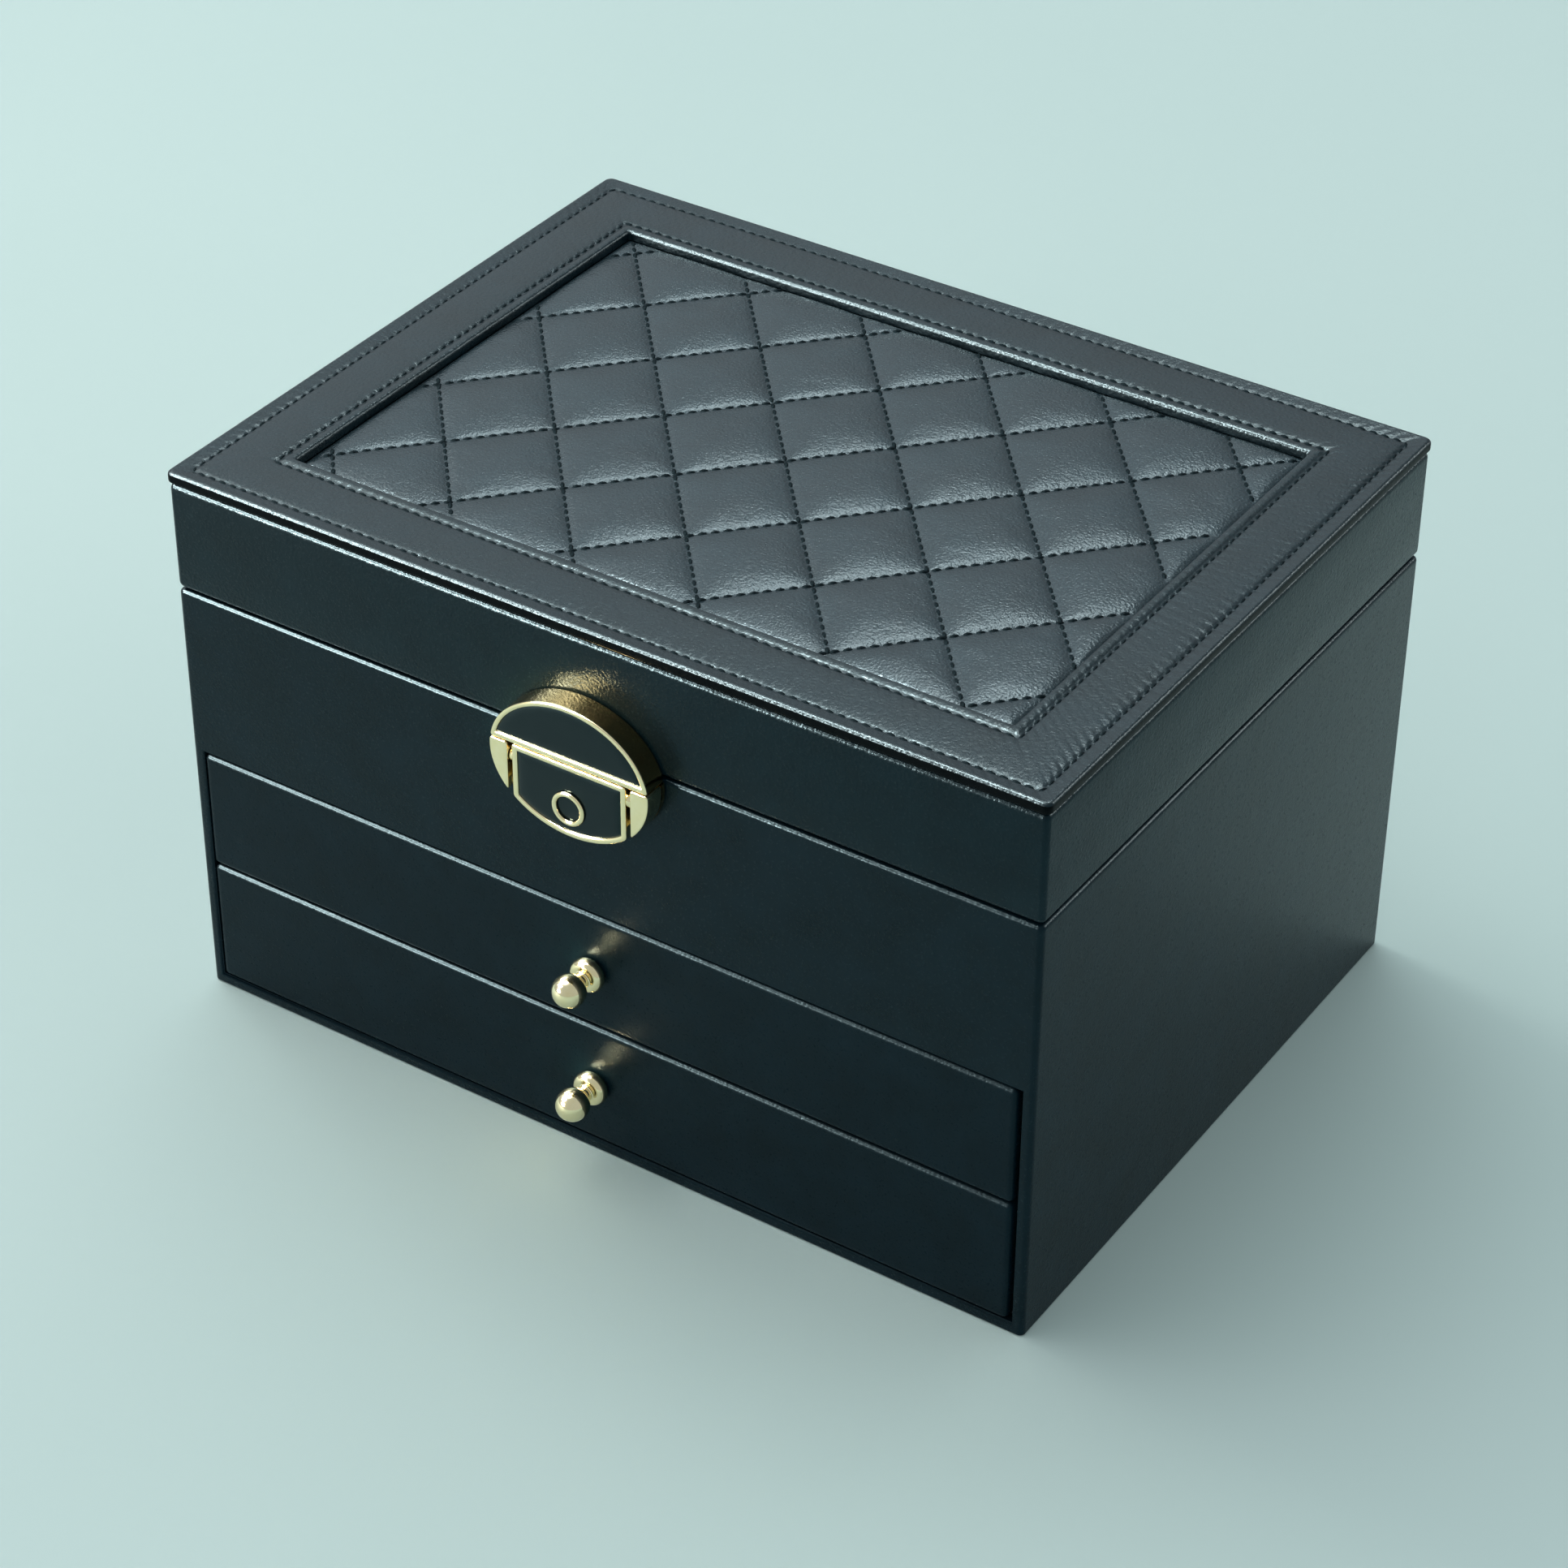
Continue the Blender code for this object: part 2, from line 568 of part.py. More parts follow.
def build_border():
    """Four boards round the quilted pad; the front and back ones run the whole width."""
    outer_x = BOX_WIDTH / 2 + BORDER_OVERHANG
    outer_y = BOX_DEPTH / 2 + BORDER_OVERHANG
    z_range = (BORDER_BASE, LID_TOP)
    side_y = (-RECESS_HALF_DEPTH + GLUE_GAP, RECESS_HALF_DEPTH - GLUE_GAP)
    spans = {
        "front": ((-outer_x, outer_x), (-outer_y, -RECESS_HALF_DEPTH)),
        "back": ((-outer_x, outer_x), (RECESS_HALF_DEPTH, outer_y)),
        "left": ((-outer_x, -RECESS_HALF_WIDTH), side_y),
        "right": ((RECESS_HALF_WIDTH, outer_x), side_y),
    }
    return [board("lid_border_" + word, x_range, y_range, z_range, LEATHER,
                  radius=BORDER_EDGE_RADIUS) for word, (x_range, y_range) in spans.items()]


def quilt_axes():
    """The two steps of the quilt's lattice, as plan vectors from one stitched crossing to the next."""
    rising = Vector((math.cos(QUILT_RISING_ANGLE), math.sin(QUILT_RISING_ANGLE)))
    falling = Vector((math.cos(QUILT_FALLING_ANGLE), math.sin(QUILT_FALLING_ANGLE)))
    return rising * QUILT_RISING_PITCH, falling * QUILT_FALLING_PITCH


def quilt_height(x, y, half_width, half_depth, to_lattice):
    """Rise of the pad's face: each cell is a pillow between its seams, low along the pad's edge."""
    cell = to_lattice @ Vector((x - QUILT_NODE_X, y - QUILT_NODE_Y))
    pillow = (abs(math.sin(math.pi * cell[0])) * abs(math.sin(math.pi * cell[1]))) ** PILLOW_POWER
    edge = min(half_width - abs(x), half_depth - abs(y))
    fall = math.sqrt(max(0.0, min(1.0, edge / QUILT_EDGE_ROLL)))
    return QUILT_SEAM_HEIGHT + QUILT_CROWN * pillow * fall


def build_quilted_pad(base):
    """The padded panel: a grid on the lattice of its seams, trimmed to the recess, raised and closed."""
    half_width = RECESS_HALF_WIDTH - GLUE_GAP
    half_depth = RECESS_HALF_DEPTH - GLUE_GAP
    rising, falling = quilt_axes()
    to_plan = Matrix(((rising.x, falling.x), (rising.y, falling.y)))
    to_lattice = to_plan.inverted()
    corners = [Vector((x * half_width, y * half_depth)) for x in (-1, 1) for y in (-1, 1)]
    node = Vector((QUILT_NODE_X, QUILT_NODE_Y))
    reach = math.ceil(max(abs(value) for corner in corners for value in to_lattice @ (corner - node)))
    shape = bmesh.new()
    steps = 2 * reach * QUILT_CELL_STEPS
    bmesh.ops.create_grid(shape, x_segments=steps, y_segments=steps, size=1.0)
    for vertex in shape.verts:
        place = node + to_plan @ (Vector(vertex.co.xy) * reach)
        vertex.co = (place.x, place.y, 0)
    for normal, distance in (((1, 0, 0), half_width), ((-1, 0, 0), half_width),
                             ((0, 1, 0), half_depth), ((0, -1, 0), half_depth)):
        bmesh.ops.bisect_plane(shape, geom=shape.verts[:] + shape.edges[:] + shape.faces[:],
                               plane_co=Vector(normal) * distance, plane_no=normal, clear_outer=True)
    bmesh.ops.remove_doubles(shape, verts=shape.verts[:], dist=QUILT_DRAW_IN / 2)
    for vertex in shape.verts:
        vertex.co.z = quilt_height(vertex.co.x, vertex.co.y, half_width, half_depth, to_lattice)
    rim = [edge for edge in shape.edges if edge.is_boundary]
    skirt = bmesh.ops.extrude_edge_only(shape, edges=rim)["geom"]
    for vertex in (item for item in skirt if isinstance(item, bmesh.types.BMVert)):
        draw = 1 - QUILT_DRAW_IN / half_depth
        vertex.co = (vertex.co.x * draw, vertex.co.y * draw, 0)
    bmesh.ops.holes_fill(shape, edges=[edge for edge in shape.edges if edge.is_boundary], sides=0)
    bmesh.ops.recalc_face_normals(shape, faces=shape.faces[:])
    mesh = bpy.data.meshes.new("quilted_pad")
    shape.to_mesh(mesh)
    shape.free()
    pad = add_piece("quilted_pad", mesh, QUILT_LEATHER, (0, 0, base))
    smooth(pad)
    return pad


def lower_angle(half_width, width):
    """The lower angle at which an ellipse of this half width is as wide as the given one."""
    return -math.acos(width / half_width)


def half_moon_outline(inset):
    """The part of the latch's ellipse above the press button, drawn in by an inset."""
    half_width = LATCH_HALF_WIDTH - inset
    half_height = LATCH_HALF_HEIGHT - inset
    chord = HALF_MOON_BASE + inset
    start = math.asin((chord - LATCH_CENTRE_Z) / half_height)
    return arc_points((0, LATCH_CENTRE_Z), (half_width, half_height), start, math.pi - start,
                      2 * ARC_STEPS)


def flap_outline(inset):
    """The press button: straight top and sides, and the latch's ellipse below, drawn in."""
    half_width = LATCH_HALF_WIDTH - inset
    half_height = LATCH_HALF_HEIGHT - inset
    side = FLAP_HALF_WIDTH - inset
    start = lower_angle(half_width, side)
    lower = arc_points((0, LATCH_CENTRE_Z), (half_width, half_height), start, -math.pi - start,
                       ARC_STEPS)
    return lower + [(-side, LATCH_BODY_TOP - inset), (side, LATCH_BODY_TOP - inset)]


def build_latch_base():
    """The plate on the case's front, the two ears, the pin between them and the button's spring."""
    top = (LATCH_BODY_TOP - LATCH_CENTRE_Z) / LATCH_HALF_HEIGHT
    start = math.asin(top)
    plate = arc_points((0, LATCH_CENTRE_Z), (LATCH_HALF_WIDTH, LATCH_HALF_HEIGHT), start,
                       -math.pi - start, 2 * ARC_STEPS)
    mesh = front_plate("latch_base_plate", plate, PLATE_FRONT, LATCH_BACK)
    add_piece("latch_base_plate", mesh, GOLD)
    ear_inner = FLAP_HALF_WIDTH + EAR_GAP
    low = lower_angle(LATCH_HALF_WIDTH, ear_inner)
    arc = arc_points((0, LATCH_CENTRE_Z), (LATCH_HALF_WIDTH, LATCH_HALF_HEIGHT), low, start,
                     ARC_STEPS // 2)
    right = arc + [(ear_inner, LATCH_BODY_TOP)]
    socket = cylinder_mesh("pin_sockets", LATCH_PIN_RADIUS + GLUE_GAP,
                           2 * (ear_inner + LATCH_PIN_SOCKET + GLUE_GAP),
                           (0, FLAP_PIVOT_Y, FLAP_PIVOT_Z), "X")
    cutter = add_cutter("pin_sockets", socket)
    for side, word in ((-1, "left"), (1, "right")):
        name = "latch_ear_" + word
        points = [(side * x, z) for x, z in right]
        ear = add_piece(name, front_plate(name, points, LATCH_FRONT, PLATE_FRONT - GLUE_GAP), GOLD)
        combine(ear, cutter, "DIFFERENCE")
    pin = cylinder_mesh("latch_pin", LATCH_PIN_RADIUS, 2 * (ear_inner + LATCH_PIN_SOCKET),
                        (0, FLAP_PIVOT_Y, FLAP_PIVOT_Z), "X")
    smooth(add_piece("latch_pin", pin, GOLD))
    build_spring()


def build_spring():
    """A bent strip between the plate and the button, which pushes the button's foot outwards."""
    back = PLATE_FRONT - GLUE_GAP
    front = back - SPRING_THICKNESS
    foot = FLAP_PIVOT_Z - SPRING_FOOT_DROP
    bend = foot + SPRING_FOOT
    tip = bend + SPRING_TIP
    points = [(back, foot), (back, bend), (back - SPRING_RISE, tip),
              (front - SPRING_RISE, tip), (front, bend), (front, foot)]
    mesh = side_plate("latch_spring", points, -SPRING_WIDTH / 2, SPRING_WIDTH / 2)
    add_piece("latch_spring", mesh, STEEL)


def build_flap():
    """The press button with its pivot barrel, black inlay and plain ring."""
    flap = add_piece("latch_flap", front_plate("latch_flap", flap_outline(0), LATCH_FRONT, FLAP_BACK),
                     GOLD)
    pocket = front_plate("flap_pocket", flap_outline(FLAP_RIM), LATCH_FRONT - OVERRUN,
                         LATCH_FRONT + INLAY_POCKET_DEPTH)
    barrel_half = FLAP_HALF_WIDTH + EAR_GAP - GLUE_GAP
    pivot = (0, FLAP_PIVOT_Y, FLAP_PIVOT_Z)
    barrel = cylinder_mesh("flap_barrel", FLAP_BARREL_RADIUS, 2 * barrel_half, pivot, "X")
    bore = cylinder_mesh("flap_bore", LATCH_PIN_RADIUS + GLUE_GAP, 2 * (barrel_half + OVERRUN),
                         pivot, "X")
    combine(flap, add_cutter("flap_barrel", barrel), "UNION")
    combine(flap, add_cutter("flap_bore", bore), "DIFFERENCE")
    combine(flap, add_cutter("flap_pocket", pocket), "DIFFERENCE")
    inlay_back = LATCH_FRONT + INLAY_POCKET_DEPTH - GLUE_GAP
    inlay_front = inlay_back - INLAY_THICKNESS
    inlay = add_piece("flap_inlay", front_plate("flap_inlay", flap_outline(FLAP_RIM + GLUE_GAP),
                                                inlay_front, inlay_back), BLACK_ENAMEL)
    inner = EMBLEM_RADIUS - EMBLEM_BAND
    profile = [(inner, EMBLEM_THICKNESS / 2), (inner + EMBLEM_BAND * THIN_EDGE_SHARE, EMBLEM_THICKNESS),
               (EMBLEM_RADIUS - EMBLEM_BAND * THIN_EDGE_SHARE, EMBLEM_THICKNESS),
               (EMBLEM_RADIUS, EMBLEM_THICKNESS / 2), (EMBLEM_RADIUS, 0), (inner, 0),
               (inner, EMBLEM_THICKNESS / 2)]
    place = (0, inlay_front - GLUE_GAP, BODY_HEIGHT - EMBLEM_DROP)
    ring = turned_piece("emblem_ring", profile, GOLD, place, KNOB_STEPS)
    carry(body_axis("latch_flap_axis", pivot), [flap, inlay, ring])


def build_half_moon():
    """The half-moon on the lid with its black inlay, and the tongue that reaches behind the button."""
    moon = add_piece("half_moon_housing",
                     front_plate("half_moon_housing", half_moon_outline(0), LATCH_FRONT, LATCH_BACK),
                     GOLD)
    tongue_back = PLATE_FRONT - GLUE_GAP
    tongue_front = tongue_back - CATCH_THICKNESS
    nose_front = tongue_front - CATCH_NOSE
    low = LID_BASE - CATCH_REACH
    tongue = side_plate("catch_tongue", [
        (tongue_back, LID_BASE + OVERRUN), (tongue_back, low), (nose_front, low),
        (nose_front, low + CATCH_NOSE_HEIGHT), (tongue_front, low + 2 * CATCH_NOSE_HEIGHT),
        (tongue_front, LID_BASE + OVERRUN)], -CATCH_WIDTH / 2, CATCH_WIDTH / 2)
    pocket = front_plate("moon_pocket", half_moon_outline(HALF_MOON_RIM), LATCH_FRONT - OVERRUN,
                         LATCH_FRONT + INLAY_POCKET_DEPTH)
    combine(moon, add_cutter("catch_tongue", tongue), "UNION")
    combine(moon, add_cutter("moon_pocket", pocket), "DIFFERENCE")
    inlay_back = LATCH_FRONT + INLAY_POCKET_DEPTH - GLUE_GAP
    outline = half_moon_outline(HALF_MOON_RIM + GLUE_GAP)
    inlay = front_plate("half_moon_inlay", outline, inlay_back - INLAY_THICKNESS, inlay_back)
    return [moon, add_piece("half_moon_inlay", inlay, BLACK_ENAMEL)]


def hinge_leaf(name, centre_x, direction, spans, cutters):
    """A hinge leaf on the back: a plate above or below the axis, with knuckles over some spans of X."""
    back = BACK_FACE + GLUE_GAP
    clear = HINGE_BARREL_RADIUS + GLUE_GAP
    z_range = sorted((HINGE_AXIS_Z + direction * clear,
                      HINGE_AXIS_Z + direction * (clear + HINGE_LEAF_HEIGHT)))
    mesh, centre = box_mesh(name, (centre_x - HINGE_WIDTH / 2, centre_x + HINGE_WIDTH / 2),
                            (back, back + HINGE_LEAF_THICKNESS), z_range)
    leaf = add_piece(name, mesh, GOLD, centre)
    neck_z = sorted((HINGE_AXIS_Z, HINGE_AXIS_Z + direction * (clear + HINGE_BARREL_RADIUS)))
    for number, (low, high) in enumerate(spans):
        label = name + "_" + str(number)
        neck_mesh, neck_centre = box_mesh(label + "_neck", (low, high),
                                          (back, back + HINGE_LEAF_THICKNESS), neck_z)
        neck = add_cutter(label + "_neck", neck_mesh)
        neck.location = neck_centre
        knuckle = cylinder_mesh(label + "_knuckle", HINGE_BARREL_RADIUS, high - low,
                                ((low + high) / 2, HINGE_AXIS_Y, HINGE_AXIS_Z), "X")
        combine(leaf, neck, "UNION")
        combine(leaf, add_cutter(label + "_knuckle", knuckle), "UNION")
    combine(leaf, cutters, "DIFFERENCE")
    return leaf


def build_hinges():
    """Two butt hinges; returns the leaves on the lid."""
    lid_leaves = []
    for side, word in ((-1, "left"), (1, "right")):
        centre = side * HINGE_OFFSET
        low = centre - HINGE_WIDTH / 2
        high = centre + HINGE_WIDTH / 2
        middle_low = centre - HINGE_MIDDLE_KNUCKLE / 2
        middle_high = centre + HINGE_MIDDLE_KNUCKLE / 2
        axis = (centre, HINGE_AXIS_Y, HINGE_AXIS_Z)
        bore_mesh = cylinder_mesh("hinge_bore_" + word, HINGE_BORE_RADIUS, HINGE_WIDTH + OVERRUN, axis,
                                  "X")
        bore = add_cutter("hinge_bore_" + word, bore_mesh)
        hinge_leaf("hinge_case_leaf_" + word, centre, -1,
                   ((low, middle_low - GLUE_GAP), (middle_high + GLUE_GAP, high)), bore)
        lid_leaves.append(hinge_leaf("hinge_lid_leaf_" + word, centre, 1,
                                     ((middle_low, middle_high),), bore))
        build_hinge_pin(word, low, high)
    return lid_leaves


def build_hinge_pin(word, low, high):
    """A hinge pin with a head at each end of the barrel."""
    end = GLUE_GAP + HINGE_PIN_HEAD_LENGTH
    half = (high - low) / 2
    profile = [(0, half + end), (HINGE_PIN_HEAD_RADIUS, half + end),
               (HINGE_PIN_HEAD_RADIUS, half + GLUE_GAP), (HINGE_PIN_RADIUS, half + GLUE_GAP),
               (HINGE_PIN_RADIUS, -half - GLUE_GAP), (HINGE_PIN_HEAD_RADIUS, -half - GLUE_GAP),
               (HINGE_PIN_HEAD_RADIUS, -half - end), (0, -half - end)]
    place = ((low + high) / 2, HINGE_AXIS_Y, HINGE_AXIS_Z)
    turned_piece("hinge_pin_" + word, profile, STEEL, place, SMALL_STEPS,
                 Matrix.Rotation(math.pi / 2, 4, "Y"))


def build_box():
    """Every piece of the box."""
    build_carcase()
    build_tray()
    build_drawer("lower", LOWER_FRONT_BASE, LOWER_FRONT_HEIGHT, BASE_BOARD, SHELF_BASE, False)
    build_drawer("upper", UPPER_FRONT_BASE, UPPER_FRONT_HEIGHT, SHELF_TOP, TRAY_FLOOR_BASE, True)
    build_latch_base()
    build_flap()
    lid_pieces = build_lid() + build_half_moon() + build_hinges()
    carry(body_axis("lid_axis", (0, HINGE_AXIS_Y, HINGE_AXIS_Z)), lid_pieces)


build_box()
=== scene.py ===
"""Looks of the jewelry box: leather over boards, a quilted lid, gold fittings and a velvet tray.

Metres, +Z up. The origin is the centre of the underside and the front faces -Y, as in the CAD frame.
"""

import logging
import math
from collections.abc import Callable
from dataclasses import dataclass, field
from enum import Enum

import bmesh
import bpy
import numpy as np
from mathutils import Matrix, Vector


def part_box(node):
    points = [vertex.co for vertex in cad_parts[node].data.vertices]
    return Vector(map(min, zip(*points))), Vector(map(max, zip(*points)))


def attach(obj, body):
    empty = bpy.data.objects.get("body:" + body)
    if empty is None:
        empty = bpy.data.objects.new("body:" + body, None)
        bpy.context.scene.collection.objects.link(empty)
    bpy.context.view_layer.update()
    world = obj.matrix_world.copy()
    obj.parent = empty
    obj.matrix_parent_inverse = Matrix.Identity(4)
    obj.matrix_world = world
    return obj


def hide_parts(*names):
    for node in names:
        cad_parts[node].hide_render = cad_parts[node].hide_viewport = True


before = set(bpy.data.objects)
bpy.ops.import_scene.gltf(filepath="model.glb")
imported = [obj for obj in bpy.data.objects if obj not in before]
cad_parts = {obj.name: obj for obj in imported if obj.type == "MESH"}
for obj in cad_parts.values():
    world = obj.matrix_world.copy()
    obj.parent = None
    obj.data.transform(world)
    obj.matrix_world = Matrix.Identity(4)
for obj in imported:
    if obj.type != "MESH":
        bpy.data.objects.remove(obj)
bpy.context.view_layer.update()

LOG = logging.getLogger("jewelry_box")
WELD_DISTANCE = 0.000002
SHARP_ANGLE = math.radians(42)
QUARTER_TURN = math.pi / 2


class Facing(Enum):
    """The side that a flat outline faces; its depth grows towards that side."""

    FRONT = "front"
    TOP = "top"


class Ends(Enum):
    """How a stack of rings ends: with flat faces, or with its last ring joined to its first."""

    FLAT = "flat"
    JOINED = "joined"


@dataclass
class Patch:
    """A surface in the making: rows of points, and faces as lists of point numbers."""

    points: np.ndarray
    faces: list[list[int]]


def loft(rings: np.ndarray, ends: Ends = Ends.FLAT) -> Patch:
    """Skin a stack of closed rings: each point joins the same point of the next ring.

    Args:
        rings: points as an array of ring, place round the ring, and xyz.
        ends: flat end faces, or the last ring joined to the first.

    Returns:
        The surface, with four-sided faces between the rings.
    """
    count, around = rings.shape[:2]
    rows = np.arange(count if ends is Ends.JOINED else count - 1)
    here, beside = np.meshgrid(rows, np.arange(around), indexing="ij")
    above = (here + 1) % count
    onward = (beside + 1) % around
    corners = (here * around + beside, here * around + onward,
               above * around + onward, above * around + beside)
    faces = np.stack(corners, axis=-1).reshape(-1, 4).tolist()
    if ends is Ends.FLAT:
        faces.append(list(range(around))[::-1])
        faces.append(list(range((count - 1) * around, count * around)))
    return Patch(rings.reshape(-1, 3), faces)


def sheet(points: np.ndarray) -> Patch:
    """Skin a grid of points, an array of column, row and xyz, with four-sided faces."""
    number = np.arange(points.shape[0] * points.shape[1]).reshape(points.shape[:2])
    corners = (number[:-1, :-1], number[1:, :-1], number[1:, 1:], number[:-1, 1:])
    return Patch(points.reshape(-1, 3), np.stack(corners, axis=-1).reshape(-1, 4).tolist())


def joined(patches: list[Patch]) -> Patch:
    """One surface from several, which keep their own faces."""
    faces: list[list[int]] = []
    start = 0
    for patch in patches:
        faces += [[corner + start for corner in face] for face in patch.faces]
        start += len(patch.points)
    return Patch(np.concatenate([patch.points for patch in patches]), faces)


def repeated(patch: Patch, origins: np.ndarray, along: np.ndarray, up: np.ndarray) -> Patch:
    """Copies of a small surface, each set down at its own place and turned its own way.

    A copy's point is its origin plus the three parts of the pattern's point, measured along,
    across and up.

    Args:
        patch: the pattern, whose x runs along, y across and z up.
        origins: the place of each copy.
        along: the unit direction of each copy's x.
        up: the unit direction of each copy's z.

    Returns:
        All the copies as one surface.
    """
    across = np.cross(up, along)
    axes = np.stack([along, across, up], axis=1)
    points = origins[:, None, :] + np.einsum("pk,ckx->cpx", patch.points, axes)
    size = len(patch.points)
    faces = [[corner + start for corner in face]
             for start in range(0, size * len(origins), size) for face in patch.faces]
    return Patch(points.reshape(-1, 3), faces)


def faced(outlines: np.ndarray, depths: np.ndarray, facing: Facing) -> np.ndarray:
    """Stand flat outlines up in space, each at its own depth.

    Args:
        outlines: an array of ring, place round the ring, and the two flat coordinates.
        depths: each ring's distance towards the side that the piece faces.
        facing: the side that it faces.

    Returns:
        Rings of points for loft.
    """
    first, second = outlines[..., 0], outlines[..., 1]
    depth = np.broadcast_to(depths[:, None], first.shape)
    if facing is Facing.FRONT:
        return np.stack([first, -depth, second], axis=-1)
    return np.stack([first, second, depth], axis=-1)


def stacked(outline: Callable[[float], np.ndarray], profile: np.ndarray, start: float,
            facing: Facing, ends: Ends = Ends.FLAT) -> Patch:
    """Skin a piece from its outline: each row of its profile draws it in and gives its depth.

    Args:
        outline: the piece's outline, drawn in by an inset.
        profile: rows of inset and depth.
        start: what is added to each depth.
        facing: the side that the piece faces.
        ends: flat end faces, or the last ring joined to the first.

    Returns:
        The surface.
    """
    outlines = np.stack([outline(inset) for inset, _ in profile])
    return loft(faced(outlines, profile[:, 1] + start, facing), ends)


def turned(profile: np.ndarray, centre: tuple[float, float, float], axis: int, steps: int,
           ends: Ends = Ends.FLAT) -> Patch:
    """Turn a profile about a line that is parallel to X or Y.

    A point is the centre, plus the profile's reach along the axis, plus its radius times the cosine and
    sine of the turn along the other two directions.

    Args:
        profile: rows of radius and reach, from one end of the axis to the other.
        centre: a point of the axis, where the reach is zero.
        axis: 0 for X and 1 for Y.
        steps: how many points go round.
        ends: closed at its ends, or the profile's end joined to its start.

    Returns:
        The turned surface.
    """
    turn = np.linspace(0, 2 * np.pi, steps, endpoint=False)
    rings = np.empty((len(profile), steps, 3))
    rings[..., axis] = profile[:, 1, None]
    rings[..., 1 - axis] = profile[:, 0, None] * np.cos(turn)
    rings[..., 2] = profile[:, 0, None] * np.sin(turn)
    return loft(rings + np.array(centre), ends)


def arc(centre: tuple[float, float], radius: float, start: float, end: float, steps: int) -> np.ndarray:
    """Points of a circular arc in a plane, from a start to an end angle in degrees."""
    turn = np.radians(np.linspace(start, end, steps + 1))
    return np.stack([centre[0] + radius * np.cos(turn), centre[1] + radius * np.sin(turn)], axis=-1)


def rounded_rectangle(half: tuple[float, float], radius: float, arc_steps: int,
                      side_steps: tuple[int, int] = (1, 1)) -> np.ndarray:
    """A rectangle with round corners: four quarter circles joined by straight sides.

    Args:
        half: half its size along the two flat coordinates.
        radius: radius of its corners.
        arc_steps: steps in each corner.
        side_steps: steps in the sides that run along the second and along the first coordinate.

    Returns:
        Its points, anticlockwise from the corner at plus and minus.
    """
    turn = np.linspace(0, QUARTER_TURN, arc_steps + 1)
    centres = np.array([(1, -1), (1, 1), (-1, 1), (-1, -1)]) * (np.array(half) - radius)
    runs = []
    for corner in range(4):
        angles = turn + (corner - 1) * QUARTER_TURN
        bend = centres[corner] + radius * np.stack([np.cos(angles), np.sin(angles)], axis=-1)
        following = (corner + 1) % 4
        start = corner * QUARTER_TURN
        onward = centres[following] + radius * np.array([math.cos(start), math.sin(start)])
        share = np.arange(1, side_steps[corner % 2]) / side_steps[corner % 2]
        runs += [bend, bend[-1] + (onward - bend[-1]) * share[:, None]]
    return np.concatenate(runs)


def shrinking(half: tuple[float, float], radius: float, least: float, arc_steps: int,
              centre: tuple[float, float] = (0.0, 0.0)) -> Callable[[float], np.ndarray]:
    """A rectangle with round corners as an outline for stacked.

    Args:
        half: half its size.
        radius: radius of its corners.
        least: the least radius that they shrink to.
        arc_steps: steps in each corner.
        centre: its middle.

    Returns:
        The function that gives it, drawn in by an inset.
    """
    def outline(inset: float) -> np.ndarray:
        """The rectangle, drawn in by an inset."""
        size = (half[0] - inset, half[1] - inset)
        return rounded_rectangle(size, max(least, radius - inset), arc_steps) + np.array(centre)

    return outline


def along_line(points: np.ndarray, places: np.ndarray) -> np.ndarray:
    """The points at given distances from the start of a line of points."""
    lengths = np.linalg.norm(np.diff(points, axis=0), axis=1)
    reached = np.concatenate([[0], np.cumsum(lengths)])
    return np.stack([np.interp(places, reached, column) for column in points.T], axis=-1)


def filleted(sides: list[np.ndarray], trim: float, side_steps: int, corner_steps: int) -> np.ndarray:
    """A closed outline from its sides in order, with its corners rounded.

    Each side is cut back by the trim at both ends. Between the cut ends runs the curve
    (1-t)^2 A + 2t(1-t) C + t^2 B, where C is the corner that was cut off.

    Args:
        sides: each side's points, where each one starts at the end of the one before.
        trim: how much of each side the corner takes.
        side_steps: steps along each side.
        corner_steps: steps round each corner.

    Returns:
        The outline's points.
    """
    cut = []
    for side in sides:
        length = np.linalg.norm(np.diff(side, axis=0), axis=1).sum()
        cut.append(along_line(side, np.linspace(trim, length - trim, side_steps + 1)))
    share = (np.arange(1, corner_steps) / corner_steps)[:, None]
    runs = []
    for number, side in enumerate(cut):
        corner = sides[number][-1]
        onward = cut[(number + 1) % len(cut)][0]
        runs += [side, (1 - share) ** 2 * side[-1] + 2 * share * (1 - share) * corner
                 + share ** 2 * onward]
    return np.concatenate(runs)


def board_profile(thickness: float, front_radius: float, back_radius: float, hold: float,
                  steps: int = 5) -> np.ndarray:
    """How far each ring of a board is drawn in, and its depth: flat back, round edges, flat front.

    Args:
        thickness: from the back face, at depth 0, to the front face.
        front_radius: radius of the edge round the front face.
        back_radius: radius of the edge round the back face.
        hold: width of the narrow flat ring that keeps the shading of each face flat.
        steps: steps in each rounded edge.

    Returns:
        Rows of inset and depth.
    """
    back = arc((back_radius, back_radius), back_radius, 270, 180, steps)
    front = arc((front_radius, thickness - front_radius), front_radius, 180, 90, steps)
    return np.concatenate([[(back_radius + hold, 0)], back, front, [(front_radius + hold, thickness)]])


